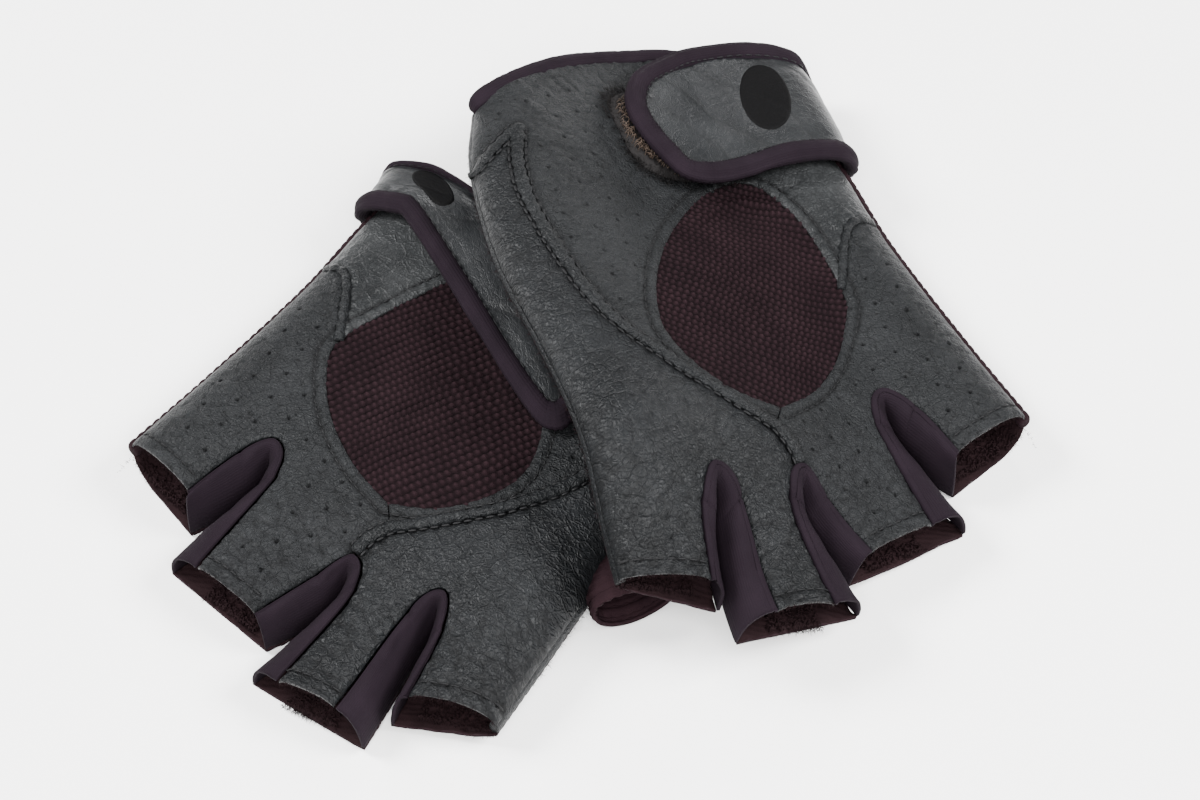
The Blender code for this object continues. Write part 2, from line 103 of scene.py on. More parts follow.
WINDOW_THUMB_SIDE = [(-1, 8.6), (-12, 13), (-20.5, 21.5), (-23.5, 33), (-17.5, 49), (-4.5, 66)]
WINDOW_FINGER_SIDE = [(34.3, 42), (31.3, 32.5), (23.3, 22.3), (11.5, 13.5)]
LOOP_CENTRE, LOOP_HALF = (10, 97.5), (18, 15.5)
STRAP_CENTRE = 99.5
STRAP_HALF = 1.0
STRAP_HEM = 5.5
STRAP_SKEW_START = 24
CUFF_START, CUFF_EASE = 82, 8.0
WRIST_MIDDLE, WRIST_HALF = 1.2, 7.6
STRAP_BASE_PATH = [(55.1, -3.2), (53.4, -5.6), (47, -7.0), (30, -7.2), (-20, -7.2)]

# a soft fold that the knit makes below the strap of the right glove
WINDOW_FOLD_POINTS = [(3, 69), (13, 74), (24, 74), (31, 68)]

# ---------------------------------------------------------------- small things that only the looks have
HEM_STITCH, WINDOW_STITCH = 3.3, 3.0
SEAM_STEP, STRAP_STEP, EDGE_STEP = 0.7, 0.6, 0.3
# the knit: the widths of its rows and of the stitches in a row
WINDOW_ROW, WINDOW_BEAD = 1.85, 1.7
BACK_ROW, BACK_STITCH = 2.5, 1.6
THUMB_ROW = 1.8
# the holes of the perforated panels: their size and spacing, and the oval round the loop patch that has none
HOLE_RADIUS, HOLE_DEPTH, HOLE_CLEAR = 0.62, 0.95, 1.75
HOLE_RINGS = (0.7, 1.0, 1.4)
HOLE_ROWS_TURN, HOLE_PITCH, HOLE_MARGIN, HOLE_LAST_V = 24, 7.6, 4.3, 112
HOLE_FREE = (21, 18)
RIM_RINGS = (0.04, 0.16, 0.36, 0.64, 1.0)
# points nearer than this are one point, and each leather panel is cut this much inside its seams
TOUCHING = 0.05
PANEL_INSET = 0.12
WALL_DEPTH = 14
WRIST_HEM_HALF, BINDING_HALF = (1.35, 2.2), (3.0, 2.05)
EMBLEM_CENTRE, EMBLEM_HALF, EMBLEM_LEAN = (27, 1), (6.5, 11.5), 2.5
HOOK_HALF = 9.8
LOOP_FIBRES, BROWN_LOOPS, SIDE_FIBRES, TERRY_LOOPS = 2600, 170, 320, 190
FIBRE_CLEAR = 0.15
# a wave texture of this scale has a row every 1.3 millimetres
WAVE_SCALE = 3100 / (4 * math.pi)
GRAIN_WARP = (0.0011, 0.0011, 0)
# painted shade: the near-black that the leather's colour goes to in its creases, seam grooves and hole pits
CREASE_SHADE_COLOUR = (0.0008, 0.0008, 0.001)
# the camera's target in millimetres, its angle above the horizon and its distance in metres
CAMERA_TARGET, CAMERA_TILT, CAMERA_DISTANCE = (4.5, -12.4, 14.8), 52, 0.651
FLOOR_HALF = 3.0

GLOVES = {
    "right": {
        "mirror": 1, "yaw": 20, "place": (43.5, -32.4),
        "rise": 29.0, "rise_from": 30, "rise_over": 84, "finger_share": 0.55, "rise_start": -40,
        "rise_length": 50, "cuff_tuck": 0.0,
        "window_top": [(12, 79), (26, 80), (33.2, 65)],
        "strap_path": [(55, -2), (54.9, 3), (51, 10.2), (39.5, 14.6), (25, 15.4), (10, 14.8), (-6, 13.4)],
        "strap_skew": 0.0, "loop_height": 1.6, "hook_patch": (25, 0),
        "strap_outline": [(0.6, -16), (9, -19.5), (32, -20.5), (62, -22), (70.5, -13), (73.5, 2),
                          (67, 14), (55, 20), (40, 22.5), (10, 18.5), (0.6, 16)],
        "rib_angle": 62, "seed": 3, "window_fold": 1,
        "thumb": {"end": (-16.0, 9.0), "across": (0.43, 0.9), "along": (-0.9, 0.43), "half": (12.0, 1.5),
                  "height": -10.1, "length": 27.0, "knit": 0.3, "hem": 0.3, "taper": 0},
        # how far the back is drawn up under each finger's end, from the index finger on
        "finger_close": (1.6, 1.6, 1.4, 0.0)},
    "left": {
        "mirror": -1, "yaw": -30, "place": (-47.5, -50.4),
        "rise": 2.0, "rise_from": 15, "rise_over": 60, "finger_share": 0.4, "rise_start": -20,
        "rise_length": 40, "cuff_tuck": 0.7,
        "window_top": [(12, 72), (19.5, 73), (28.5, 57)],
        "strap_path": [(55, -2), (54.9, 3), (51, 9.8), (39.5, 13.9), (25, 14.3), (5, 13.9), (-14, 12.6),
                       (-27, 12.0)],
        "strap_skew": 0.62, "loop_height": 1.2, "hook_patch": (34, -3),
        "strap_outline": [(0.6, -16), (9, -19.5), (32, -19.5), (80, -20), (92, -17), (94, -8),
                          (87, 4), (72, 14), (45, 19.5), (10, 18.5), (0.6, 16)],
        "rib_angle": 32, "seed": 11, "window_fold": 0,
        "thumb": {"end": (-58.5, 17.0), "across": (-0.66, 0.75), "along": (0.75, 0.66), "half": (9.5, 6.2),
                  "height": -2.0, "length": 15.0, "knit": 1, "hem": 1, "taper": 0.25},
        "finger_close": (0.8, 0.0, 0.0, 0.0)}}


# ---------------------------------------------------------------- noise
def smooth(t):
    t = np.clip(t, 0, 1)
    return t * t * (3 - 2 * t)


def bell(distance, width):
    return np.exp(-(distance / width) ** 2)


def hashed(x, y, seed):
    return np.modf(np.abs(np.sin(x * 127.1 + y * 311.7 + seed * 74.7) * 43758.5453))[0]


def ripple(x, y, seed):
    """Smooth noise from -1 to 1, with a bump about every unit."""
    left, low = np.floor(x), np.floor(y)
    a, b = smooth(x - left), smooth(y - low)
    lower = hashed(left, low, seed) * (1 - a) + hashed(left + 1, low, seed) * a
    upper = hashed(left, low + 1, seed) * (1 - a) + hashed(left + 1, low + 1, seed) * a
    return 2 * (lower * (1 - b) + upper * b) - 1


def cell_borders(x, y, seed):
    """1 on the borders of irregular cells about a unit wide, falling to 0 inside them."""
    left, low = np.floor(x), np.floor(y)
    found = []
    for i in (-1, 0, 1):
        for j in (-1, 0, 1):
            spot_x = left + i + hashed(left + i, low + j, seed)
            spot_y = low + j + hashed(left + i, low + j, seed + 0.37)
            found.append(np.hypot(spot_x - x, spot_y - y))
    found = np.sort(np.stack(found), axis=0)
    return np.exp(-(found[1] - found[0]) / 0.14)


# ---------------------------------------------------------------- curves in the pattern
def curve(points, per_segment=4):
    """Points along a Catmull-Rom curve through the given points, both ends included."""
    knots = np.array(points, float)
    knots = np.vstack([2 * knots[0] - knots[1], knots, 2 * knots[-1] - knots[-2]])
    result = []
    for a, b, c, d in zip(knots, knots[1:], knots[2:], knots[3:]):
        for i in range(per_segment):
            t = i / per_segment
            result.append(0.5 * (2 * b + (c - a) * t + (2 * a - 5 * b + 4 * c - d) * t * t
                                 + (3 * b - a - 3 * c + d) * t ** 3))
    return np.array(result + [knots[-2]])


def unit(vectors):
    """Vectors along the last axis, each brought to length 1."""
    return vectors / np.linalg.norm(vectors, axis=-1, keepdims=True)


def turns(count):
    """The angles of a full turn in even steps, from 0."""
    return np.linspace(0, 2 * np.pi, count + 1)[:-1]


def rounded(angle, power):
    """The cosine and sine, bent from a circle (power 1) towards a square (power 0)."""
    return [np.sign(wave) * np.abs(wave) ** power for wave in (np.cos(angle), np.sin(angle))]


def measured(line):
    """How far along the line each of its points is."""
    return np.concatenate([[0], np.cumsum(np.linalg.norm(np.diff(line, axis=0), axis=1))])


def points_along(line, lengths, places):
    return np.stack([np.interp(places, lengths, line[:, i]) for i in (0, 1)], -1)


def sideways(line):
    """The direction across an open flat line at each of its points."""
    ahead = unit(np.gradient(line, axis=0))
    return np.stack([-ahead[:, 1], ahead[:, 0]], -1)


def turns_left(outline):
    """Whether the outline runs anticlockwise."""
    following = np.roll(outline, -1, 0)
    return np.sum(outline[:, 0] * following[:, 1] - outline[:, 1] * following[:, 0]) > 0


EDGES = {name: np.array(sorted(curve(points, 12).tolist(), key=lambda p: p[1]))
         for name, points in (("little", LITTLE_EDGE), ("thumb", THUMB_EDGE))}


def edge_at(name, v):
    return np.interp(v, EDGES[name][:, 1], EDGES[name][:, 0])


def between(name, start, end, steps):
    v = np.linspace(start, end, steps)
    return np.stack([edge_at(name, v), v], -1)


def join(*lines):
    """One outline from lines that meet end to end."""
    outline = []
    for line in lines:
        for point in line:
            if not outline or np.linalg.norm(point - outline[-1]) > TOUCHING:
                outline.append(np.array(point, float))
    if np.linalg.norm(outline[0] - outline[-1]) < TOUCHING:
        outline.pop()
    return np.array(outline)


def inset(outline, amount):
    """The outline moved inwards, whichever way it runs."""
    after = unit(np.roll(outline, -1, 0) - outline)
    before = unit(outline - np.roll(outline, 1, 0))
    normal = np.stack([-before[:, 1] - after[:, 1], before[:, 0] + after[:, 0]], -1)
    if not turns_left(outline):
        normal = -normal
    length = np.maximum(0.7, np.linalg.norm(normal, axis=1))[:, None]
    return outline + normal / length / (length / 2) * amount


def divided(line, longest, closed=True):
    """The line with its long sides divided."""
    result = []
    following = np.roll(line, -1, 0) if closed else line[1:]
    for start, end in zip(line, following):
        pieces = max(1, math.ceil(np.linalg.norm(end - start) / longest))
        result += [start + (end - start) * i / pieces for i in range(pieces)]
    return np.array(result if closed else result + [line[-1]])


WINDOW_FOLD = curve(WINDOW_FOLD_POINTS)


def even(line, step):
    """An open line redrawn with points a step apart."""
    lengths = measured(line)
    places = np.linspace(0, lengths[-1], max(2, round(lengths[-1] / step) + 1))
    return points_along(line, lengths, places)


def distance_to(line, u, v, closed=False):
    """How far each point is from a line, and how far along the line its nearest place is."""
    points = np.stack([u, v], -1)
    start = line if closed else line[:-1]
    edge = (np.roll(line, -1, 0) if closed else line[1:]) - start
    squared = np.sum(edge * edge, 1)
    offsets = np.concatenate([[0], np.cumsum(np.sqrt(squared))])[:-1]
    distances, places = [], []
    for block in np.array_split(points, max(1, len(points) * len(start) // 1500000)):
        away = block[:, None] - start[None]
        t = np.clip(np.sum(away * edge, 2) / np.maximum(squared, 1e-9), 0, 1)
        gap = np.hypot(away[..., 0] - t * edge[:, 0], away[..., 1] - t * edge[:, 1])
        nearest = gap.argmin(1)
        rows = np.arange(len(block))
        distances.append(gap[rows, nearest])
        places.append(offsets[nearest] + t[rows, nearest] * np.sqrt(squared[nearest]))
    return np.concatenate(distances), np.concatenate(places)


# ---------------------------------------------------------------- the glove's own surfaces
def side_roll(u, v, reach):
    """From 0 at the glove's side edges in a quarter round to 1 at the reach inside them."""
    inside = np.minimum(edge_at("little", v) - u, u - edge_at("thumb", v)) / reach
    return np.sqrt(np.maximum(0.0, 1 - (1 - np.clip(inside, 0, 1)) ** 2))


def seam_height(u):
    return np.where(u > 0, 0.5, -3.0)


def finger_roll(u, v):
    """How far the leather drops towards the gaps between the fingers."""
    drop = np.zeros_like(u)
    for gap in FINGER_GAPS.values():
        line = np.array(gap["leather"], float)
        left = np.interp(v, line[:3, 1], line[:3, 0])
        right = np.interp(v, line[:1:-1, 1], line[:1:-1, 0])
        inside = np.clip(np.maximum(left - u, u - right) / 7, 0, 1)
        fade = smooth((line[2, 1] + 2 - v) / 14)
        drop = np.maximum(drop, fade * (1 - np.sqrt(1 - (1 - inside) ** 2)))
    return drop


def palm_top(glove, u, v):
    crest = FINGER_TOP + (PALM_TOP - FINGER_TOP) * smooth((v + 35) / 40)
    edge = seam_height(u) + SEAM_GAP + PALM_EDGE
    seed = glove["seed"]
    swell = 0.55 * ripple(u / 19 + 0.3, v / 23, seed) + 0.22 * ripple(u / 8, v / 9, seed + 1)
    roll = side_roll(u, v, LEATHER_ROLL)
    return edge + (crest - edge) * roll + swell * roll - FINGER_DROP * finger_roll(u, v)


def back_lift(glove, u, v):
    """How far the back is drawn up below the finger ends."""
    amounts = glove["finger_close"]
    across = np.interp(u, (-26, -22, -2, 3, 32, 37),
                       (amounts[0], amounts[1], amounts[1], amounts[2], amounts[2], amounts[3]))
    return across * smooth((8 - v) / 26)


def back_bottom(glove, u, v):
    floor = BACK_FLOOR + CUFF_LIFT * smooth((v - 72) / 6) + back_lift(glove, u, v)
    edge = seam_height(u) - SEAM_GAP - KNIT
    return edge + (floor - edge) * side_roll(u, v, BACK_ROLL)


def middle(glove, u, v):
    """The height of the glove's middle above the floor, and how far the bend draws it in."""
    share = glove["finger_share"]
    along = smooth((v - glove["rise_start"]) / glove["rise_length"])
    rise = glove["rise"] * (share + (1 - share) * along)
    t = np.clip((glove["rise_from"] - u) / glove["rise_over"], 0, 1)
    # half the square of the slope, summed from rise_from on, is the width that the bend takes up
    drawn_in = 18 * rise * rise / glove["rise_over"] * (t ** 3 / 3 - t ** 4 / 2 + t ** 5 / 5)
    return REST_HEIGHT + rise * smooth(t), drawn_in


def across_right(u, v):
    """The right glove's u where the left glove's point (u, v) lies."""
    left, right = GLOVES["left"], GLOVES["right"]
    turn = math.radians(left["yaw"])
    x = left["place"][0] - u * math.cos(turn) - v * math.sin(turn) - right["place"][0]
    y = left["place"][1] - u * math.sin(turn) + v * math.cos(turn) - right["place"][1]
    return x * math.cos(math.radians(right["yaw"])) + y * math.sin(math.radians(right["yaw"]))


def tucked(glove, v):
    """Where v lies at rest: the left glove's cuff is pushed together towards the fingers."""
    beyond = np.maximum(0.0, v - CUFF_START)
    reach = np.minimum(beyond, CUFF_EASE)
    return v - glove["cuff_tuck"] * (beyond - reach + reach * reach / (2 * CUFF_EASE))


def squeezed(glove, u, v, w):
    """The height w once the part that the other glove lies against is pressed thinner."""
    if glove is GLOVES["left"]:
        thickness = 1 - LEFT_PRESS * smooth((across_right(u, tucked(glove, v)) + 24) / 42)
        return BACK_FLOOR + (w - BACK_FLOOR) * thickness
    thickness = 1 - RIGHT_PRESS * smooth((40 - u) / 25) * smooth((v + 10) / 30)
    return PALM_TOP + (w - PALM_TOP) * np.where(w < PALM_TOP, thickness, 1)


def lay(glove, u, v, w):
    """Pattern points, in millimetres, as points of the glove at rest, in metres."""
    u, v, w = np.broadcast_arrays(np.asarray(u, float), v, w)
    height, drawn_in = middle(glove, u, v)
    slope_u = middle(glove, u + 0.5, v)[0] - middle(glove, u - 0.5, v)[0]
    slope_v = middle(glove, u, v + 0.5)[0] - middle(glove, u, v - 0.5)[0]
    normal = unit(np.stack([-slope_u, -slope_v, np.ones_like(u)], -1))
    point = np.stack([u + drawn_in, tucked(glove, v), height], -1)
    point = point + normal * squeezed(glove, u, v, w)[..., None]
    turn = math.radians(glove["yaw"])
    x = point[..., 0] * glove["mirror"]
    y = point[..., 1]
    return np.stack([x * math.cos(turn) - y * math.sin(turn) + glove["place"][0],
                     x * math.sin(turn) + y * math.cos(turn) + glove["place"][1], point[..., 2]], -1) * MM


def on_palm(glove):
    return lambda u, v, h: lay(glove, u, v, palm_top(glove, u, v) + h)


def on_strap(glove, path, skew):
    """A placing function for the strap: s along it, q across it, n out of it. Also its length."""
    line = curve(path, 24)
    lengths = measured(line)

    def place(s, q, n):
        spot = points_along(line, lengths, s)
        ahead = unit(points_along(line, lengths, np.minimum(s + 1, lengths[-1]))
                     - points_along(line, lengths, np.maximum(s - 1, 0)))
        drift = -skew * np.maximum(0.0, s - STRAP_SKEW_START)
        # below 0 the strap runs straight down into the seam
        return lay(glove, spot[..., 0] + n * ahead[..., 1], STRAP_CENTRE + q + drift,
                   spot[..., 1] + np.minimum(s, 0) - n * ahead[..., 0])

    return place, lengths[-1]


# ---------------------------------------------------------------- meshes
def mesh_piece(name, points, faces, materials, uv, indices=None, crease_shade=None):
    """A smooth mesh in metres. uv is in millimetres of cloth, one for each point."""
    data = bpy.data.meshes.new(name)
    data.from_pydata(np.asarray(points).tolist(), [], [tuple(int(i) for i in f) for f in faces])
    corners = np.zeros(len(data.loops), int)
    data.loops.foreach_get("vertex_index", corners)
    layer = data.uv_layers.new(name="cloth")
    layer.data.foreach_set("uv", (np.asarray(uv, float)[corners] * MM).ravel())
    # how strongly each point is creased, kept for the materials to paint shade there
    if crease_shade is not None:
        data.attributes.new("crease_shade", "FLOAT", "POINT").data.foreach_set("value", np.asarray(crease_shade, float))
    for made in materials:
        data.materials.append(made)
    if indices is not None:
        data.polygons.foreach_set("material_index", np.asarray(indices, int))
    data.shade_smooth()
    piece = bpy.data.objects.new(name, data)
    bpy.context.scene.collection.objects.link(piece)
    return piece


def shape_piece(name, shape, material):
    """A mesh of one material from points, faces and uv, which may come as grids."""
    points, faces, uv = shape
    return mesh_piece(name, np.reshape(points, (-1, 3)), faces, [material], np.reshape(uv, (-1, 2)))


def joined(parts):
    """Several (points, faces, uv) shapes as one."""
    points, faces, uv, count = [], [], [], 0
    for part_points, part_faces, part_uv in parts:
        points.append(np.reshape(part_points, (-1, 3)))
        uv.append(np.reshape(part_uv, (-1, 2)))
        faces += [tuple(i + count for i in face) for face in part_faces]
        count += len(points[-1])
    return np.vstack(points), faces, np.vstack(uv)


def grid_faces(rows, columns, wrap_rows=False, wrap_columns=False):
    row, column = np.meshgrid(np.arange(rows if wrap_rows else rows - 1),
                              np.arange(columns if wrap_columns else columns - 1), indexing="ij")
    below, right = (row + 1) % rows, (column + 1) % columns
    return np.stack([row * columns + column, row * columns + right, below * columns + right,
                     below * columns + column], -1).reshape(-1, 4).tolist()


def sweep(points, closed):
    """The surface through a row of rings, with its ends capped if the row is open.

    points is rows x columns x 3. The rings' spacing and girth give the uv.
    """
    rows, columns = points.shape[:2]
    faces = grid_faces(rows, columns, closed, True)
    if not closed:
        faces.append(list(range(columns))[::-1])
        faces.append(list(range((rows - 1) * columns, rows * columns)))
    measures = []
    for axis in (0, 1):
        steps = np.linalg.norm(points - np.roll(points, 1, axis), axis=2).mean(1 - axis) / MM
        steps[0] = 0
        measures.append(np.cumsum(steps))
    return points, faces, np.stack(np.meshgrid(*measures, indexing="ij"), -1)


def ribbon(line, profile, place):
    """A swept profile along an open flat line.

    The profile's points are (across, up), the same ones all along or one set for each of the line's points.
    """
    profile = np.broadcast_to(profile, (len(line),) + np.shape(profile)[-2:])
    spots = line[:, None] + sideways(line)[:, None] * profile[..., :1]
    return sweep(place(spots[..., 0], spots[..., 1], profile[..., 1]), False)


def shell(points, thickness, uv, wrap=False):
    """A closed sheet from a grid of points: its other side lies a thickness (in millimetres) behind it."""
    rows, columns = points.shape[:2]
    along = np.gradient(points, axis=0)
    across = (np.roll(points, -1, 1) - np.roll(points, 1, 1)) if wrap else np.gradient(points, axis=1)
    normal = np.cross(along, across)
    normal /= np.maximum(1e-12, np.linalg.norm(normal, axis=2))[..., None]
    behind = points - normal * thickness * MM
    count = rows * columns
    front = grid_faces(rows, columns, False, wrap)
    faces = front + [[i + count for i in reversed(f)] for f in front]
    last = (rows - 1) * columns
    for i in range(columns if wrap else columns - 1):
        j = (i + 1) % columns
        faces.append([j, i, i + count, j + count])
        faces.append([last + i, last + j, last + j + count, last + i + count])
    if not wrap:
        for r in range(rows - 1):
            a, b = r * columns, (r + 1) * columns
            faces.append([a, b, b + count, a + count])
            a, b = a + columns - 1, b + columns - 1
            faces.append([b, a, a + count, b + count])
    points = np.vstack([points.reshape(-1, 3), behind.reshape(-1, 3)])
    return points, faces, np.vstack([uv.reshape(-1, 2)] * 2)


def lattice(outline, step, clear):
    """A staggered grid of points inside an outline, all at least a clear distance from it."""
    following = np.roll(outline, -1, 0)
    found = []
    y = outline[:, 1].min() + step / 2
    row = 0
    while y < outline[:, 1].max():
        crossing = (outline[:, 1] > y) != (following[:, 1] > y)
        a, b = outline[crossing], following[crossing]
        at = np.sort(a[:, 0] + (y - a[:, 1]) / (b[:, 1] - a[:, 1]) * (b[:, 0] - a[:, 0]))
        x = np.arange(outline[:, 0].min() + step * (0.25 if row % 2 else 0.75), outline[:, 0].max(), step)
        x = x[np.searchsorted(at, x) % 2 == 1]
        found.append(np.stack([x, np.full_like(x, y)], -1))
        y += step * 0.87
        row += 1
    points = np.vstack(found)
    return points[distance_to(outline, points[:, 0], points[:, 1], True)[0] > clear]


def filled(outline, extra):
    """Triangles over an outline and the extra points inside it."""
    points = [Vector(p) for p in np.vstack([outline, extra])]
    flat, _, faces, _, _, _ = delaunay_2d_cdt(points, [], [list(range(len(outline)))], 1, 1e-5)
    return np.array([(p.x, p.y) for p in flat]), [tuple(f) for f in faces if len(f) == 3]


def fine_sheet(outline, step, holes=()):
    """A fine triangulation, closely spaced along its rim, with small rings round each hole's centre."""
    inner = [lattice(outline, step, 1.0 + 0.45 * step)]
    for ring in RIM_RINGS:
        line = inset(outline, ring)
        inner.append(line[distance_to(outline, line[:, 0], line[:, 1], True)[0] > 0.85 * ring])
    inner = np.vstack(inner)
    if len(holes):
        for hole in holes:
            inner = inner[np.hypot(*(inner - hole).T) > HOLE_RADIUS * HOLE_CLEAR]
        circle = np.stack([np.cos(turns(10)), np.sin(turns(10))], -1)
        rings = [(holes[:, None] + circle * HOLE_RADIUS * share).reshape(-1, 2) for share in HOLE_RINGS]
        inner = np.vstack([inner, holes] + rings)
    return filled(outline, inner)


def sheet_piece(name, outline, step, place, top, bottom, materials, holes=(), coarse=2.4):
    """A closed piece of cloth or leather: a fine face at top(), a plainer one at bottom(), and a rim."""
    outline = divided(outline, step)
    flat, faces = fine_sheet(outline, step, holes)
    height, crease_shade = top(flat[:, 0], flat[:, 1])
    upper = place(flat[:, 0], flat[:, 1], height)
    plain, plain_faces = filled(outline, lattice(outline, coarse, coarse * 0.5))
    lower = place(plain[:, 0], plain[:, 1], bottom(plain[:, 0], plain[:, 1]))
    count, rim = len(flat), len(outline)
    edges = [(i, (i + 1) % rim) for i in range(rim)]
    if turns_left(outline):
        edges = [(b, a) for a, b in edges]
    sides = [(a, b, b + count, a + count) for a, b in edges]
    every = list(faces) + [tuple(i + count for i in reversed(f)) for f in plain_faces] + sides
    indices = [0] * len(faces) + [1] * len(plain_faces) + [0] * len(sides)
    return mesh_piece(name, np.vstack([upper, lower]), every, materials, np.vstack([flat, plain]), indices,
                      np.concatenate([crease_shade, np.zeros(len(plain))]))


def capsules(line, place, pitch, length, radius, lift):
    """Stitches along a flat line: small rounded threads that lie on the surface, their ends sunk a little."""
    lengths = measured(line)
    rings, sides = np.linspace(0, np.pi, 7), turns(7)
    along = -np.cos(rings)[:, None] * length / 2 + 0 * sides[None]
    out = np.sqrt(np.sin(rings))[:, None] * radius
    across, up = out * np.cos(sides), out * np.sin(sides)
    height = lift + up - 0.35 * (along / length * 2) ** 2 * radius
    shapes = []
    for centre in np.arange(pitch / 2, lengths[-1], pitch):
        spot, after, before = [points_along(line, lengths, s) for s in (centre, centre + 0.6, centre - 0.6)]
        ahead = unit(after - before)
        x = spot[0] + ahead[0] * along - ahead[1] * across
        y = spot[1] + ahead[1] * along + ahead[0] * across
        shapes.append(sweep(place(x, y, height), False))
    return shapes


def hairs(roots, directions, lengths, radius, random, curl=0.5):
    """Fine tapered fibres, each bent once and kept off the floor. Roots and directions are in metres."""
    directions = unit(directions)
    bend = unit(random.normal(size=roots.shape))
    side = unit(np.cross(directions, bend))
    other = np.cross(directions, side)
    reach = np.asarray(lengths)[:, None] * MM
    halfway = roots + directions * reach * 0.55 + bend * reach * 0.12 * curl
    tips = roots + directions * reach + bend * reach * curl * 0.6
    ring = [side * math.cos(angle) + other * math.sin(angle) for angle in turns(3)]
    points = np.stack([roots + r * radius * MM for r in ring]
                      + [halfway + r * radius * 0.75 * MM for r in ring] + [tips], axis=1)
    points[..., 2] = np.maximum(points[..., 2], FIBRE_CLEAR * MM)
    faces = []
    for a in range(0, 7 * len(roots), 7):
        for k, n in ((0, 1), (1, 2), (2, 0)):
            faces.append((a + k, a + n, a + 3 + n, a + 3 + k))
            faces.append((a + 3 + k, a + 3 + n, a + 6))
        faces.append((a + 2, a + 1, a))
    return points, faces, np.zeros((7 * len(roots), 2))


def curls(spots, place, random, radius, thread, lift):
    """Small standing loops of thread at the given pattern points."""
    ring = turns(5)
    bow = np.linspace(0, np.pi, 9)
    shapes = []
    for spot in spots:
        facing = random.uniform(0, math.pi)
        line = spot + np.stack([np.cos(bow) * math.cos(facing), np.cos(bow) * math.sin(facing)], -1) * radius
        rise = np.sin(bow)[:, None] * radius * random.uniform(1.2, 2.5)
        profile = np.stack([thread * np.cos(ring) + 0 * rise, thread * np.sin(ring) + rise + lift], -1)
        shapes.append(ribbon(line, profile, place))
    return shapes


# ---------------------------------------------------------------- materials
def start_material(name):
    made = bpy.data.materials.new(name)
    made.use_nodes = True
    return made, made.node_tree, made.node_tree.nodes["Principled BSDF"]


def feed(tree, made, inputs):
    """Link each socket in inputs to the node's input of that name or number, or set its value."""
    for key, value in inputs.items():
        if isinstance(value, bpy.types.NodeSocket):
            tree.links.new(value, made.inputs[key])
        else:
            made.inputs[key].default_value = value


def node(tree, kind, inputs, **settings):
    made = tree.nodes.new(kind)
    for key, value in settings.items():
        setattr(made, key, value)
    feed(tree, made, inputs)
    return made


def mixed(tree, factor, one, two):
    one, two = [value if isinstance(value, bpy.types.NodeSocket) else (*value, 1) for value in (one, two)]
    return node(tree, "ShaderNodeMix", {0: factor, 6: one, 7: two}, data_type="RGBA").outputs[2]


def ramp(tree, factor, low, high):
    return node(tree, "ShaderNodeMapRange", {"Value": factor, "From Min": low, "From Max": high}).outputs[0]


def plus(tree, a, b):
    return node(tree, "ShaderNodeMath", {0: a, 1: b}, operation="ADD").outputs[0]


def times(tree, a, b):
    return node(tree, "ShaderNodeMath", {0: a, 1: b}, operation="MULTIPLY").outputs[0]


def noise(tree, place, scale, detail, output=0):
    inputs = {"Vector": place, "Scale": scale, "Detail": detail}
    return node(tree, "ShaderNodeTexNoise", inputs).outputs[output]


def cells(tree, place, size):
    """How far each place is from the borders of irregular cells of a size in millimetres."""
    return node(tree, "ShaderNodeTexVoronoi", {"Vector": place, "Scale": 1 / (size * MM)},
                feature="DISTANCE_TO_EDGE").outputs[0]


def crease_shade_mark(tree):
    # how strongly a point is creased: the materials paint shade into the colour there
    return node(tree, "ShaderNodeAttribute", {}, attribute_name="crease_shade").outputs[2]


def raised(tree, height, strength, depth):
    """Bumps of a depth in millimetres."""
    inputs = {"Height": height, "Strength": strength, "Distance": depth * MM}
    return node(tree, "ShaderNodeBump", inputs).outputs[0]


def scaled(colour, share):
    return tuple(part * share for part in colour)


def cloth_place(tree, turn=0.0):
    uv = node(tree, "ShaderNodeUVMap", {}, uv_map="cloth").outputs[0]
    return node(tree, "ShaderNodeMapping", {"Vector": uv, "Rotation": (0, 0, turn)}).outputs[0]


def leather_material(name, dark, pale, roughness, grain_size, pits=False, relief=0.85, shine=0.11):
    """A grained leather. grain_size is in millimetres, and pits adds pores."""
    made, tree, shader = start_material(name)
    place = cloth_place(tree)
    cloud = noise(tree, place, 60, 4)
    warp = noise(tree, place, 700, 2, 1)
    bent = node(tree, "ShaderNodeVectorMath", {0: warp, 1: GRAIN_WARP}, operation="MULTIPLY").outputs[0]
    bent = node(tree, "ShaderNodeVectorMath", {0: place, 1: bent}, operation="ADD").outputs[0]
    grain = ramp(tree, cells(tree, bent, grain_size), 0.0, 0.28)
    fine = noise(tree, place, 2600, 3)
    lines = ramp(tree, cells(tree, bent, grain_size * 4.2), 0.0, 0.07)
    crease_shade = crease_shade_mark(tree)
    height = plus(tree, times(tree, grain, 0.55), times(tree, fine, 0.35))
    height = plus(tree, height, times(tree, lines, 0.7))
    colour = mixed(tree, ramp(tree, cloud, 0.36, 0.66), dark, pale)
    # painted shade: the colour darkens along the grain's grooves, where the bump is low
    colour = mixed(tree, times(tree, ramp(tree, grain, 0.5, 0.0), 0.45), colour, scaled(dark, 0.35))
    if pits:
        pores = node(tree, "ShaderNodeTexVoronoi", {"Vector": bent, "Scale": 520}).outputs[0]
        pores = ramp(tree, pores, 0.1, 0.26)
        height = plus(tree, height, times(tree, pores, 0.9))
        # painted shade in the pores, where the bump is low
        colour = mixed(tree, times(tree, ramp(tree, pores, 0.8, 0.0), 0.6), colour, scaled(dark, 0.2))
    # painted shade: the colour goes almost black where the crease mark is, in creases, seam grooves and hole
    # pits
    colour = mixed(tree, ramp(tree, crease_shade, 0.0, 1.0), colour, CREASE_SHADE_COLOUR)
    gloss = plus(tree, times(tree, cloud, 0.22), roughness - 0.11)
    gloss = plus(tree, gloss, times(tree, crease_shade, 0.3))
    feed(tree, shader, {"Base Color": colour, "Roughness": gloss, "Specular IOR Level": shine,
                        "Normal": raised(tree, height, relief, 0.3)})
    return made


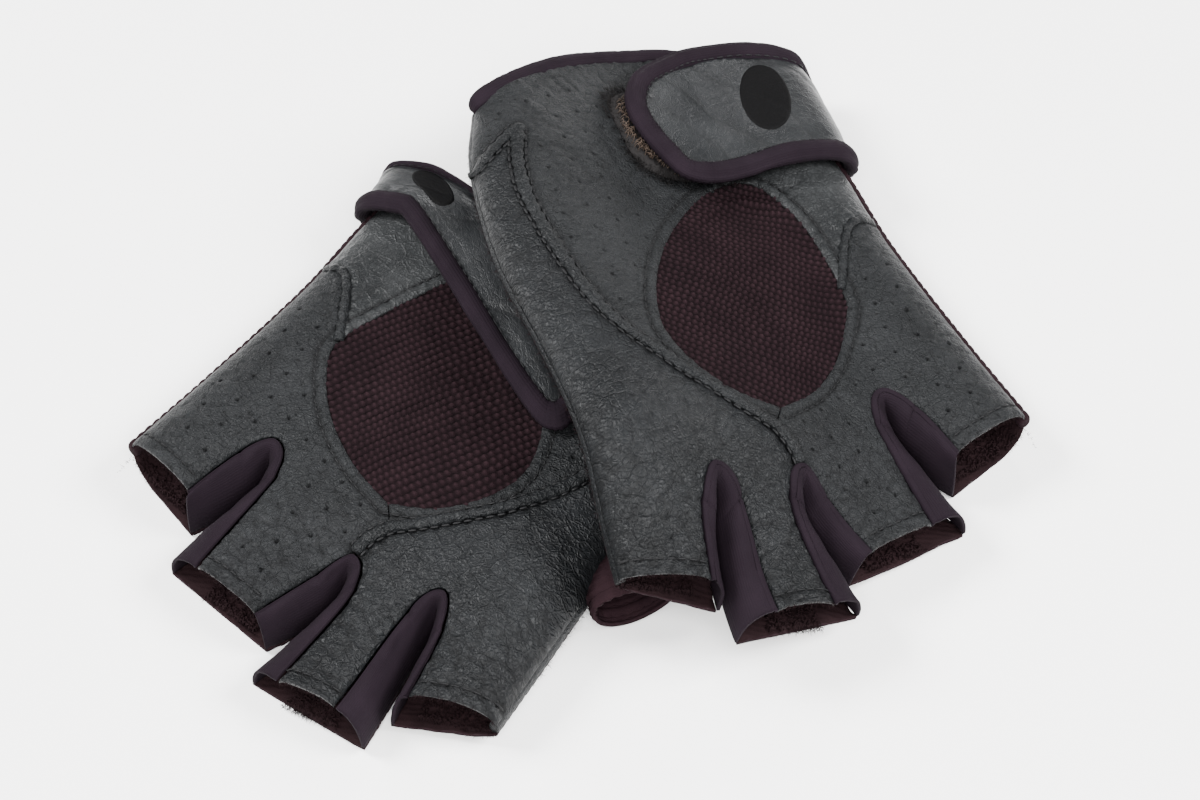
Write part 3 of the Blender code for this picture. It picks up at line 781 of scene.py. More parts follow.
def knit_material(name, dark, pale, size, turn=0.0, relief=0.6, shine=0.04):
    """A matt knit. Its rows are about 1.3 times the size apart, in millimetres, and turn is their angle."""
    made, tree, shader = start_material(name)
    place = cloth_place(tree, turn)
    rows = {"Vector": place, "Scale": WAVE_SCALE / size, "Distortion": 1.6, "Detail": 2.0, "Detail Scale": 3.0}
    wave = node(tree, "ShaderNodeTexWave", rows, bands_direction="Y").outputs[1]
    fuzz = noise(tree, place, 4200, 3)
    cloud = noise(tree, place, 90, 3)
    height = plus(tree, times(tree, wave, 0.6), fuzz)
    colour = mixed(tree, ramp(tree, cloud, 0.35, 0.7), dark, pale)
    colour = mixed(tree, times(tree, ramp(tree, fuzz, 0.35, 0.75), 0.3), colour, scaled(pale, 1.5))
    # painted shade: the colour darkens where the crease mark is, in the grooves between the knit's rows and
    # stitches
    colour = mixed(tree, crease_shade_mark(tree), colour, scaled(dark, 0.18))
    feed(tree, shader, {"Base Color": colour, "Roughness": 0.88, "Specular IOR Level": shine,
                        "Normal": raised(tree, height, relief, 0.18)})
    return made


def plain_material(name, colour, roughness, scale, depth, shine=0.15):
    """A fine irregular surface for thread, pile, print and tape. depth is in millimetres."""
    made, tree, shader = start_material(name)
    grain = noise(tree, cloth_place(tree), scale, 3)
    tint = mixed(tree, ramp(tree, grain, 0.3, 0.7), scaled(colour, 0.6), colour)
    feed(tree, shader, {"Base Color": tint, "Roughness": roughness, "Specular IOR Level": shine,
                        "Normal": raised(tree, grain, 0.7, depth)})
    return made


GRIP_LEATHER = leather_material("grip_leather", (0.0052, 0.0056, 0.0062), (0.0088, 0.0095, 0.0104),
                                roughness=0.4, grain_size=0.9)
PALM_LEATHER = leather_material("palm_leather", (0.0066, 0.0071, 0.0077), (0.0108, 0.0115, 0.0124),
                                roughness=0.5, grain_size=0.75, pits=True)
WORN_LEATHER = leather_material("worn_leather", (0.01, 0.0107, 0.0113), (0.025, 0.0262, 0.027),
                                roughness=0.38, grain_size=1.0, relief=0.6)
STRAP_LEATHER = leather_material("strap_leather", (0.0062, 0.0067, 0.0074), (0.0115, 0.0124, 0.0134),
                                 roughness=0.36, grain_size=0.6, relief=0.25, shine=0.2)
WELT_LEATHER = leather_material("welt_leather", (0.005, 0.0054, 0.0059), (0.0085, 0.0091, 0.0099),
                                roughness=0.46, grain_size=0.8)
KNIT_CLOTH = knit_material("knit", (0.0078, 0.0038, 0.005), (0.0135, 0.0068, 0.0085), size=0.7)
LYCRA = knit_material("lycra", (0.0048, 0.0029, 0.0046), (0.0076, 0.0047, 0.0072), size=0.5,
                      relief=0.45, shine=0.06)
LINING = knit_material("lining", (0.006, 0.0031, 0.0036), (0.0115, 0.006, 0.0068), size=1.1,
                       turn=0.4, relief=0.9)
THREAD = plain_material("thread", (0.005, 0.005, 0.0056), roughness=0.55, scale=3000, depth=0.1)
PILE = plain_material("pile", (0.006, 0.005, 0.005), roughness=0.75, scale=2500, depth=0.2)
BROWN_PILE = plain_material("brown_pile", (0.045, 0.031, 0.023), roughness=0.6, scale=2500, depth=0.2)
EMBLEM = plain_material("emblem", (0.0022, 0.0021, 0.0023), roughness=0.65, scale=1600, depth=0.1,
                        shine=0.05)
HOOK_TAPE = plain_material("hook_tape", (0.0022, 0.0022, 0.0024), roughness=0.7, scale=900, depth=0.4,
                           shine=0.04)


# ---------------------------------------------------------------- the palm
def window_parts(glove):
    """The window's rim, from the seam below the ring finger: thumb side, heel side and finger side."""
    points = WINDOW_THUMB_SIDE + glove["window_top"] + WINDOW_FINGER_SIDE
    first = len(WINDOW_THUMB_SIDE) * 4
    second = (len(WINDOW_THUMB_SIDE) + len(glove["window_top"])) * 4
    whole = curve(points + points[:1])
    return whole[:first + 1], whole[first:second + 1], whole[second:]


def seam_lines(glove):
    """The lines that the palm's pieces meet along."""
    thumb_side, _, _ = window_parts(glove)
    wrist = curve(WRIST_LINE)
    wrist_join = curve([tuple(thumb_side[-1])] + WRIST_JOIN[1:])
    wrist_join[-1] = wrist[np.linalg.norm(wrist - wrist_join[-1], axis=1).argmin()]
    return {
        "to_tip": curve([(float(edge_at("thumb", GRIP_SEAM_V)), GRIP_SEAM_V)] + GRIP_SEAM_TO_TIP),
        "to_window": curve(GRIP_SEAM_TO_WINDOW),
        "to_gap": curve(GRIP_SEAM_TO_GAP),
        "heel": curve([(float(edge_at("little", HEEL_SEAM_V)), HEEL_SEAM_V)] + HEEL_SEAM),
        "wrist_join": wrist_join,
        "window": join(*window_parts(glove)),
        "wrist": wrist}


def palm_outlines(glove):
    """The cut outlines of the four leather pieces of the palm."""
    thumb_side, heel_side, finger_side = window_parts(glove)
    seams = seam_lines(glove)
    leather = {name: curve(gap["leather"]) for name, gap in FINGER_GAPS.items()}
    half = len(leather["middle_ring"]) // 2
    wrist, wrist_join, heel = seams["wrist"], seams["wrist_join"], seams["heel"]
    split = int(np.linalg.norm(wrist - wrist_join[-1], axis=1).argmin())
    window_join = curve(WINDOW_JOIN, 1)
    return {
        "wrist_panel": join(between("thumb", THUMB_SPAN[1], GRIP_SEAM_V, 4), seams["to_tip"],
                            seams["to_window"], window_join[::-1], thumb_side, wrist_join,
                            wrist[:split + 1][::-1]),
        "grip_panel": join(between("thumb", GRIP_SEAM_V, THUMB_SPAN[0], 12), leather["index_middle"],
                           leather["middle_ring"][:half + 1], seams["to_gap"][::-1],
                           seams["to_window"][::-1], seams["to_tip"][::-1]),
        "finger_panel": join(leather["middle_ring"][half:], leather["ring_little"],
                             between("little", LITTLE_SPAN[0], HEEL_SEAM_V, 8), heel, finger_side,
                             window_join, seams["to_gap"]),
        "heel_strip": join(heel[::-1], between("little", HEEL_SEAM_V, LITTLE_SPAN[1], 7),
                           wrist[split:][::-1], wrist_join[::-1], heel_side)}


def hem_lines():
    """The stitched lines along the finger ends."""
    return [even(np.array(ends, float) + (0, HEM_STITCH), 1.0) for ends in FINGER_ENDS]


def palm_relief(glove, name, outline):
    """The relief of the leather: seams drawn in, creases, and the puckers beside the stitching.

    The result gives a height in millimetres and how strongly each point is creased, which the materials paint
    as shade in the colour.
    """
    seams = seam_lines(glove)
    grip_line = np.vstack([seams["to_tip"], seams["to_window"], seams["to_gap"]])
    seed = glove["seed"]
    soft = name in ("grip_panel", "heel_strip")
    cell_size, cell_depth, cell_shade = (5.2, 0.42, 0.5) if soft else (6.5, 0.3, 0.3)

    def top(u, v):
        window, along_window = distance_to(seams["window"], u, v, True)
        grip, along_grip = distance_to(grip_line, u, v)
        heel, along_heel = distance_to(seams["heel"], u, v)
        wrist_join = distance_to(seams["wrist_join"], u, v)[0]
        hem = np.min([distance_to(line, u, v)[0] for line in hem_lines()], axis=0)
        wrist, along_wrist = distance_to(seams["wrist"], u, v)
        rim = distance_to(outline, u, v, True)[0]
        # turned edges are rounded, and sink into the seams
        height = -0.55 * (1 - np.sqrt(1 - (1 - np.clip(rim / 0.9, 0, 1)) ** 2))
        border = 0.3 * bell(window - 1.5, 1.1) - 0.42 * bell(window - WINDOW_STITCH, 0.42)
        height += border - 0.75 * bell(grip, 2.2) - 0.3 * bell(heel, 1.3) - 0.3 * bell(wrist_join, 1.2)
        height += 0.3 * bell(heel - 2.4, 0.9) - 0.3 * bell(hem, 0.5)
        # how strongly each point is creased: the seams, the stitching and the hems get painted shade there,
        # and rougher leather
        crease_shade = 0.8 * bell(window - WINDOW_STITCH, 0.5) + 0.95 * bell(grip, 1.9) + 0.7 * bell(heel, 0.6)
        crease_shade += 0.7 * bell(wrist_join, 0.6) + 0.5 * bell(hem, 0.4)
        # puckers across the seams
        for distance, along, reach, size in ((window, along_window, 5, 3.1), (grip, along_grip, 7, 3.4),
                                             (heel, along_heel, 6, 3.3), (wrist, along_wrist, 9, 3.6)):
            wave = np.sin(along * 2 * np.pi / size + 2.2 * ripple(along / 7, distance / 5, seed))
            height += 0.16 * wave * np.exp(-distance / reach) * (distance > 0.4)
        # broad cells of creases all over the palm, with painted shade in their lines
        wander_u = u + 1.6 * ripple(u / 6, v / 6, seed + 5)
        wander_v = v + 1.6 * ripple(u / 6, v / 6, seed + 6)
        cell = cell_borders(wander_u / cell_size, wander_v / (cell_size * 0.8), seed)
        patchy = smooth(0.55 + 0.8 * ripple(u / 17, v / 17, seed + 8))
        height -= cell_depth * (0.35 + 0.65 * patchy) * cell
        crease_shade += cell_shade * (0.25 + 0.75 * patchy) * cell
        # long folds across the finger ends, with painted shade in them
        ends = smooth((8 - v) / 26)
        folds = cell_borders(wander_u / 9 + wander_v / 14, (wander_v - 0.35 * wander_u) / 2.7, seed + 9)
        height -= 0.5 * ends * folds
        crease_shade += 0.5 * ends * folds
        # small wrinkles with painted shade in them, and a sweep of them towards the thumb, which has none
        small = cell_borders(u / 2.1 + 0.3 * ripple(u / 2, v / 2, seed), v / 1.9, seed + 12)
        height -= 0.16 * small
        crease_shade += 0.2 * small
        thumb_web = smooth((-20 - u) / 24)
        height += 0.2 * thumb_web * np.sin((u * 0.9 + v * 0.35) / 1.9 + 3 * ripple(u / 11, v / 11, seed + 20))
        return height, np.clip(crease_shade, 0, 1)

    return top


def perforations(name, outline):
    """The centres of the slanting rows of small holes in a perforated panel, clear of the loop patch."""
    if name not in ("wrist_panel", "finger_panel"):
        return np.zeros((0, 2))
    turn = math.radians(HOLE_ROWS_TURN)
    turned = np.array([[math.cos(turn), -math.sin(turn)], [math.sin(turn), math.cos(turn)]])
    holes = lattice(outline @ turned, HOLE_PITCH, HOLE_MARGIN) @ turned.T
    flat = (holes[:, 1] < HOLE_LAST_V) & (side_roll(holes[:, 0], holes[:, 1], LEATHER_ROLL) > 0.75)
    away = (holes - LOOP_CENTRE) / HOLE_FREE
    return holes[flat & (np.hypot(away[:, 0], away[:, 1]) > 1)]


def with_holes(relief, holes):
    """The relief with a pit at each hole's centre."""
    if not len(holes):
        return relief

    def top(u, v):
        height, crease_shade = relief(u, v)
        away = np.full(len(u), 9.0)
        for block in np.array_split(holes, max(1, len(holes) // 20)):
            gaps = np.hypot(u[:, None] - block[:, 0], v[:, None] - block[:, 1])
            away = np.minimum(away, np.min(gaps, axis=1))
        pit = smooth((HOLE_RADIUS * 1.15 - away) / (HOLE_RADIUS * 0.9))
        # each pit is also marked for painted shade
        return height - HOLE_DEPTH * pit, np.maximum(crease_shade, pit)

    return top


def palm_pieces(side, glove):
    place = on_palm(glove)
    finishes = {"wrist_panel": (PALM_LEATHER, "leather"), "grip_panel": (GRIP_LEATHER, "leather"),
                "finger_panel": (PALM_LEATHER, "leather"), "heel_strip": (WORN_LEATHER, "worn_leather")}
    for name, outline in palm_outlines(glove).items():
        material, slot = finishes[name]
        holes = perforations(name, outline)
        piece = sheet_piece(f"{side}_{name}_leather", inset(outline, PANEL_INSET), 0.85, place,
                            with_holes(palm_relief(glove, name, outline), holes),
                            lambda u, v: -LEATHER + 0.25 * ripple(u / 2, v / 2, 4), [material, LINING], holes)
        settle(piece, side + "_glove", slot, f"{side}_{name}")
    knitted_window(side, glove, place)


def knitted_window(side, glove, place):
    outline = inset(join(*window_parts(glove)), -0.6)
    angle = math.radians(glove["rib_angle"])
    seed = glove["seed"]

    def top(u, v):
        rim = distance_to(outline, u, v, True)[0]
        bow_u = u + 1.5 * ripple(u / 18, v / 18, seed)
        bow_v = v + 1.5 * ripple(u / 18, v / 18, seed + 2)
        row = (bow_u * math.cos(angle) + bow_v * math.sin(angle)) / WINDOW_ROW
        along = (-bow_u * math.sin(angle) + bow_v * math.cos(angle)) / WINDOW_BEAD + 0.5 * (np.floor(row) % 2)
        rib = np.abs(np.sin(np.pi * row)) ** 0.6
        bead = 0.5 + 0.5 * np.cos(2 * np.pi * along + 0.9 * np.sin(np.pi * row))
        fold = glove["window_fold"] * bell(distance_to(WINDOW_FOLD, u, v)[0], 1.6)
        height = -1.1 + 0.5 * smooth(rim / 9) + 0.95 * rib * (0.45 + 0.55 * bead) + 0.9 * fold
        # the second value marks painted shade in the grooves between the rows and the stitches
        return height, np.clip(1.1 - rib * (0.4 + 0.7 * bead), 0, 1)

    piece = sheet_piece(f"{side}_palm_window_knit", outline, 0.42, place, top,
                        lambda u, v: np.full_like(u, -2.4), [KNIT_CLOTH, LINING])
    settle(piece, side + "_glove", "knit", side + "_palm_window")


# ---------------------------------------------------------------- the back, the finger walls and the thumb
def back_piece(side, glove):
    slots = [curve(gap["slot"]) for gap in FINGER_GAPS.values()]
    outline = join(between("thumb", *THUMB_SPAN[::-1], 14), *slots, between("little", *LITTLE_SPAN, 14),
                   curve(WRIST_LINE)[::-1])
    seed = glove["seed"]

    def place(u, v, h):
        return lay(glove, u, v, back_bottom(glove, u, v) + h)

    def outer(u, v):
        rim = distance_to(outline, u, v, True)[0]
        row = v / BACK_ROW + 0.12 * ripple(u / 12, v / 12, seed)
        rib = np.abs(np.sin(np.pi * row)) ** 0.6
        strand = u / BACK_STITCH + 0.5 * (np.floor(row) % 2)
        twist = 0.5 + 0.5 * np.cos(2 * np.pi * strand + 1.1 * np.sin(np.pi * row))
        relief = 0.62 * rib * (0.6 + 0.4 * twist)
        # the second value marks painted shade in the grooves between the ribs and the strands
        return 0.78 - relief * smooth(rim / 0.5 + 0.5), np.clip(1 - rib * (0.5 + 0.5 * twist), 0, 1) * 0.8

    def inner(u, v):
        return KNIT + 0.45 * ripple(u / 1.3, v / 1.3, seed) * (1 - smooth((v + 8) / 20) * 0.8)

    piece = sheet_piece(f"{side}_back_knit", outline, 0.62, place, outer, inner, [KNIT_CLOTH, LINING],
                        coarse=1.3)
    piece.data.flip_normals()
    settle(piece, side + "_glove", "knit", side + "_back_panel")


def fourchette_pieces(side, glove):
    """The stretch walls between the fingers, puffed between the leather's edge and the slot in the back."""
    seed = glove["seed"]
    t = np.linspace(0, 1, 34)
    puff = np.sin(np.pi * t) ** 0.8
    for number, (name, gap) in enumerate(FINGER_GAPS.items()):
        top_line, foot_line = curve(gap["leather"], 26), curve(gap["slot"], 26)
        out = sideways(top_line)[:, None]
        brim = top_line[:, None] - out * 0.5
        flat = brim + (foot_line[:, None] - brim) * (np.sin(np.pi / 2 * t ** 1.15) ** 1.1)[:, None]
        high = palm_top(glove, *top_line.T)[:, None] - 0.75
        low = (BACK_FLOOR + KNIT + back_lift(glove, *foot_line.T))[:, None]
        s = measured(top_line)[:, None] + 0 * t
        fold = 0.5 * ripple(s / 9 + number, t * 2.2, seed + 30)
        fold += 0.22 * ripple(s / 3.5, t * 5, seed + 31)
        ribs = 0.05 * np.sin(s * 2 * np.pi)
        lift = puff * (1.1 + fold + ribs) + 0.5 * bell(t - 0.06, 0.05)
        w = high + (low - high) * (1 - np.cos(np.pi / 2 * t ** 1.2)) + lift
        flat = flat - out * (0.35 * puff * fold)[..., None]
        uv = np.stack([s, 0 * s + t * WALL_DEPTH], -1)
        shape = shell(lay(glove, flat[..., 0], flat[..., 1], w), 0.7, uv)
        settle(shape_piece(f"{side}_{name}_stretch_wall", shape, LYCRA), side + "_glove", "lycra",
               f"{side}_fourchette_{name}")


def thumb_piece(side, glove):
    """The thumb's knitted tube, splayed on the left glove and folded flat below the palm on the right one."""
    thumb = glove["thumb"]
    (end_u, end_v), (half_width, half_height), length = thumb["end"], thumb["half"], thumb["length"]
    s = np.linspace(0, 1, 60)[:, None]
    angle = turns(110)[None]
    row = s * length / THUMB_ROW
    knit = 0.28 * np.abs(np.sin(np.pi * row)) * (0.6 + 0.4 * np.cos(angle * 22)) * thumb["knit"]
    hem = 0.35 * bell(s * length - 1.4, 1.1) - 0.35 * bell(s * length - 3.2, 0.5)
    wobble = 1 + 0.06 * np.sin(3 * angle + 1) * (1 - s)
    reach = (half_width + knit + hem) * wobble * np.cos(angle)
    tall = (half_height + knit + hem * thumb["hem"]) * wobble * (1 - thumb["taper"] * s) * np.sin(angle)
    u = end_u + thumb["across"][0] * reach + thumb["along"][0] * s * length
    v = end_v + thumb["across"][1] * reach + thumb["along"][1] * s * length
    uv = np.stack([angle * half_width + 0 * s, s * length + 0 * angle], -1)
    shape = shell(lay(glove, u, v, thumb["height"] + tall), 1.0, uv, True)
    piece = shape_piece(f"{side}_thumb_knit", shape, KNIT_CLOTH)
    settle(piece, side + "_glove", "knit", side + "_thumb_stall")


def wrist_hem(side, glove):
    """The narrow binding round the wrist opening, gathered a little."""
    line = curve(WRIST_LINE, 12)
    centre_u, half_u = (line[0, 0] + line[-1, 0]) / 2, (line[-1, 0] - line[0, 0]) / 2 - 0.4
    angle = turns(420)
    cosine, sine = rounded(angle, 0.7)
    u = centre_u + half_u * cosine
    v = np.interp(u, line[:, 0], line[:, 1]) + 1.3
    path = np.stack([u, v, WRIST_MIDDLE + WRIST_HALF * sine], -1)
    ahead = unit(np.roll(path, -2, 0) - np.roll(path, 2, 0))
    out = unit(np.cross(ahead, (0, 1, 0)))
    upright = np.cross(ahead, out)
    ring = turns(20)
    gathers = 1 + 0.05 * ripple(angle[:, None] * 50, ring[None] * 1.5, glove["seed"])
    gathers = gathers * (1 - 0.16 * bell(np.cos(ring[None] - 2.6) - 1, 0.05))
    width, depth = WRIST_HEM_HALF[0] * gathers, WRIST_HEM_HALF[1] * gathers
    spots = (path[:, None] + out[:, None] * (width * np.cos(ring))[..., None]
             + upright[:, None] * (depth * np.sin(ring))[..., None])
    shape = sweep(lay(glove, spots[..., 0], spots[..., 1], spots[..., 2]), True)
    settle(shape_piece(side + "_wrist_hem", shape, LYCRA), side + "_glove", "lycra", side + "_wrist_binding")


# ---------------------------------------------------------------- the wrist strap
def strap_edges(glove, length):
    edge = curve(glove["strap_outline"], 10)
    edge[:, 0] *= (length - 0.5) / edge[:, 0].max()
    # the root of the strap runs on a little into the seam at its fold
    edge[edge[:, 0] < 0.75, 0] = -1.6
    return edge


def strap_hem(side, glove, place, edge):
    """The padded binding round the strap, pleated where it turns the corners of the strap's end."""
    seed = glove["seed"]
    line = divided(even(inset(edge, STRAP_HEM / 2 - 0.2), STRAP_STEP), STRAP_STEP, False)
    arc = np.arange(len(line)) * STRAP_STEP
    ring = turns(24)
    tip = bell((line[:, 0] - edge[:, 0].max()) / 22, 1.0) * smooth((8 - line[:, 1]) / 12)
    pleats = 0.16 * np.sin(arc * 2 * np.pi / 1.1) * tip + 0.05 * ripple(arc / 2.2, arc * 0, seed)
    sagging = 0.16 * ripple(arc / 9, arc * 0, seed + 7)
    groove = 0.28 * bell(np.cos(ring - 2.35) - 1, 0.03)
    across = (BINDING_HALF[0] + (pleats + sagging)[:, None]) * np.cos(ring) * (1 - 0.4 * groove)
    up = (BINDING_HALF[1] + (1.7 * pleats + sagging)[:, None]) * np.sin(ring) * (1 - groove)
    binding = ribbon(line, np.stack([across, up + 0.1], -1), place)
    piece = shape_piece(side + "_strap_hem", binding, LYCRA)
    settle_strap(piece, side, glove, "lycra", side + "_strap_binding")


def strap_pieces(side, glove):
    place, length = on_strap(glove, glove["strap_path"], glove["strap_skew"])
    edge = strap_edges(glove, length)
    inner = inset(edge, STRAP_HEM - 1.2)
    inner[0, 0] = inner[-1, 0] = edge[0, 0]
    seed = glove["seed"]

    def leather(s, q):
        rim = distance_to(inner, s, q, True)[0]
        folds = np.sin((s * 0.8 - q * 0.55) / 3.6 + 1.6 * ripple(s / 14, q / 14, seed))
        sharp = 1 - np.abs(folds) ** 0.35
        fine = cell_borders(s / 3.4, q / 2.6, seed + 3)
        height = STRAP_HALF - 0.1 + 0.6 * smooth(rim / 7) - 0.35 * sharp - 0.07 * fine
        height += 0.35 * ripple(s / 9, q / 12, seed + 4)
        # the second value marks painted shade in the strap's folds and fine wrinkles
        return height, np.clip(0.35 * sharp + 0.15 * fine, 0, 1)

    face = sheet_piece(side + "_strap_leather", inner, 0.7, place, leather,
                       lambda s, q: np.full_like(s, -STRAP_HALF), [STRAP_LEATHER, LYCRA])
    settle_strap(face, side, glove, "worn_leather", side + "_strap")
    strap_hem(side, glove, place, edge)
    turn = turns(48)
    (centre_s, centre_q), (half_s, half_q) = EMBLEM_CENTRE, EMBLEM_HALF
    emblem = np.stack([centre_s + half_s * np.cos(turn) - EMBLEM_LEAN * np.sin(turn),
                       centre_q + half_q * np.sin(turn)], -1)

    def print_top(s, q):
        rim = distance_to(emblem, s, q, True)[0]
        return leather(s, q)[0] + 0.32 * smooth(rim / 0.5), np.zeros_like(s)

    patch = sheet_piece(side + "_strap_print", emblem, 0.8, place, print_top,
                        lambda s, q: leather(s, q)[0] - 0.2, [EMBLEM, EMBLEM])
    settle_strap(patch, side, glove, "emblem", side + "_strap_emblem")
    back, across = glove["hook_patch"]
    corners = np.array([(length - back + x * HOOK_HALF, across + q * HOOK_HALF)
                        for x, q in ((-1, -1), (1, -1), (1, 1), (-1, 1))])

    def hooks(s, q):
        return -STRAP_HALF - 0.5 - 0.3 * np.abs(np.sin(s * 4.2) * np.sin(q * 4.2)), np.zeros_like(s)

    tape = sheet_piece(side + "_strap_hook_tape", corners, 0.7, place, hooks,
                       lambda s, q: np.full_like(s, -STRAP_HALF - 0.1), [HOOK_TAPE, HOOK_TAPE])
    tape.data.flip_normals()
    settle_strap(tape, side, glove, "hook", side + "_hook_patch")
    line = even(inset(edge, STRAP_HEM - 0.4)[4:-4], 0.8)
    stitches = joined(capsules(line, place, pitch=2.4, length=1.7, radius=0.2, lift=1.35))
    settle_strap(shape_piece(side + "_strap_stitches", stitches, THREAD), side, glove, "pile")


def strap_base_piece(side, glove):
    place, length = on_strap(glove, STRAP_BASE_PATH, 0.0)
    corners = np.array([(0.3, -15.5), (length, -16.5), (length, 14), (0.3, 15.5)])
    outline = divided(corners, 2)

    def outer(s, q):
        rim = distance_to(outline, s, q, True)[0]
        gathers = 0.12 * np.sin(s * 2 * np.pi / 3.2 + 2 * ripple(s / 8, q / 8, glove["seed"]))
        return 0.25 + 0.25 * smooth(rim / 2) + gathers * smooth(rim / 3), np.zeros_like(s)

    piece = sheet_piece(side + "_strap_base_band", outline, 0.9, place, outer,
                        lambda s, q: np.full_like(s, -0.6), [LYCRA, LYCRA])
    settle(piece, side + "_glove", "lycra", side + "_strap_base")


def pile_patch(side, glove):
    """The fuzzy loop patch: a rough base with fibres standing out round it and loose brown loops on it."""
    random = np.random.default_rng(glove["seed"])
    centre, half = np.array(LOOP_CENTRE), np.array(LOOP_HALF)
    outline = centre + half * np.stack(rounded(turns(72), 0.55), -1)
    place = on_palm(glove)
    tall = glove["loop_height"]

    def top(u, v):
        rim = distance_to(outline, u, v, True)[0]
        rough = 0.35 * ripple(u / 0.9, v / 0.9, 5) + 0.25 * ripple(u / 0.45, v / 0.45, 6)
        return 0.1 + (tall + rough) * smooth(rim / 1.6 + 0.1), np.zeros_like(u)

    base = sheet_piece(side + "_loop_pile", outline, 0.55, place, top,
                       lambda u, v: np.full_like(u, -0.2), [PILE, PILE])
    settle(base, side + "_glove", "pile", side + "_loop_patch")
    pick = random.integers(0, len(outline), LOOP_FIBRES)
    inwards = random.uniform(-0.1, 0.35, LOOP_FIBRES)[:, None]
    spots = outline[pick] * (1 - inwards) + centre * inwards + random.normal(0, 0.4, (LOOP_FIBRES, 2))
    roots = place(spots[:, 0], spots[:, 1], 0.2)
    away = spots + unit(spots - centre)
    ahead = place(away[:, 0], away[:, 1], random.uniform(-0.2, 1.4, LOOP_FIBRES)) - roots
    ahead = ahead + random.normal(0, 0.0004, (LOOP_FIBRES, 3))
    fibres = hairs(roots, ahead, random.uniform(1.0, 3.4, LOOP_FIBRES), 0.07, random)
    settle(shape_piece(side + "_loop_fibres", fibres, PILE), side + "_glove", "pile")
    # the loops stand on the patch's rim towards the thumb
    angle = random.uniform(1.9, 4.6, BROWN_LOOPS)
    spots = centre + (half - 1.2) * np.stack([np.cos(angle), np.sin(angle)], -1)
    spots = spots + random.normal(0, 0.9, spots.shape)
    loops = curls(spots, place, random, radius=0.75, thread=0.1, lift=tall * 0.75)
    settle(shape_piece(side + "_brown_loops", joined(loops), BROWN_PILE), side + "_glove", "pile")


# ---------------------------------------------------------------- seams, stitches and frayed edges
def seam_pieces(side, glove):
    """The rounded welts along the leather's seams, and the stitches beside them, the window and the hems."""
    place = on_palm(glove)
    seams = seam_lines(glove)
    grip = even(np.vstack([seams["to_window"], seams["to_gap"]]), SEAM_STEP)
    tip, heel, wrist_join = [even(seams[name], SEAM_STEP) for name in ("to_tip", "heel", "wrist_join")]
    ring = turns(16)
    welts, stitches = [], []
    for line, width, height, lift in ((grip, 2.8, 1.05, -0.1), (tip, 2.5, 1.0, -0.1),
                                      (heel, 2.2, 0.85, -0.15), (wrist_join, 2.0, 0.6, -0.25)):
        arc = np.arange(len(line)) * SEAM_STEP
        pucker = 1 + 0.14 * np.sin(arc * 2 * np.pi / 3.0) + 0.12 * ripple(arc / 3, arc * 0, glove["seed"])
        profile = np.stack([width / 2 * np.cos(ring), height * np.sin(ring)], -1)
        welts.append(ribbon(line, profile * pucker[:, None, None] + (0, lift), place))
    for line, offset in ((grip, 1.75), (grip, -1.75), (tip, 1.6), (tip, -1.6)):
        beside = line + sideways(line) * offset
        stitches += capsules(beside, place, pitch=2.5, length=1.9, radius=0.3, lift=-0.08)
    window = inset(seams["window"], -WINDOW_STITCH)
    window = even(np.vstack([window, window[:1]]), SEAM_STEP)
    stitches += capsules(window, place, pitch=2.3, length=1.6, radius=0.22, lift=-0.3)
    for line in hem_lines():
        stitches += capsules(line, place, pitch=2.4, length=1.8, radius=0.22, lift=-0.15)
    for name, shapes, material in (("_seam_welts", welts, WELT_LEATHER), ("_stitching", stitches, THREAD)):
        settle(shape_piece(side + name, joined(shapes), material), side + "_glove", "leather")


def frayed_edges(side, glove):
    """Short fibres along the cut finger ends and the knitted edge on the side."""
    random = np.random.default_rng(glove["seed"] + 50)
    roots, ways = [], []
    for ends in FINGER_ENDS:
        start, end = np.array(ends, float)
        for surface, offset, count in ((back_bottom, 1.2, 260), (palm_top, -1.2, 120)):
            t = random.uniform(0, 1, count)
            u, v = (start + (end - start) * t[:, None]).T
            w = surface(glove, u, v) + offset + random.uniform(-0.7, 0.7, count)
            roots.append(lay(glove, u, v, w))
            away_u = u + random.normal(0, 0.7, count)
            ways.append(lay(glove, away_u, v - 1, w + random.normal(0, 0.7, count)) - roots[-1])
    for name, sign in (("little", 1), ("thumb", -1)):
        v = random.uniform(-10, 100, SIDE_FIBRES)
        u = edge_at(name, v)
        w = seam_height(u) - 1.2 + random.uniform(-0.8, 0.5, SIDE_FIBRES)
        roots.append(lay(glove, u, v, w))
        away_v = v + random.normal(0, 0.6, SIDE_FIBRES)
        ways.append(lay(glove, u + sign, away_v, w + random.normal(0, 0.7, SIDE_FIBRES)) - roots[-1])
    roots, ways = np.vstack(roots), np.vstack(ways)
    fibres = hairs(roots, ways, random.uniform(0.3, 1.1, len(roots)), 0.06, random, curl=0.9)
    settle(shape_piece(side + "_frayed_fibres", fibres, LINING), side + "_glove", "knit")


def terry_lining(side, glove):
    """The rough loops of the lining that show in the finger openings."""
    random = np.random.default_rng(glove["seed"] + 80)
    spots = []
    for ends in FINGER_ENDS:
        start, end = np.array(ends, float)
        t = random.uniform(0.06, 0.94, TERRY_LOOPS)[:, None]
        deep = random.uniform(0, 1, (TERRY_LOOPS, 1)) ** 2 * (0, 7)
        spots.append(start + (end - start) * t + (0, 0.4) + deep)

    def place(u, v, h):
        return lay(glove, u, v, back_bottom(glove, u, v) + KNIT + h)

    loops = curls(np.vstack(spots), place, random, radius=0.55, thread=0.2, lift=-0.2)
    settle(shape_piece(side + "_terry_lining", joined(loops), LINING), side + "_glove", "knit")


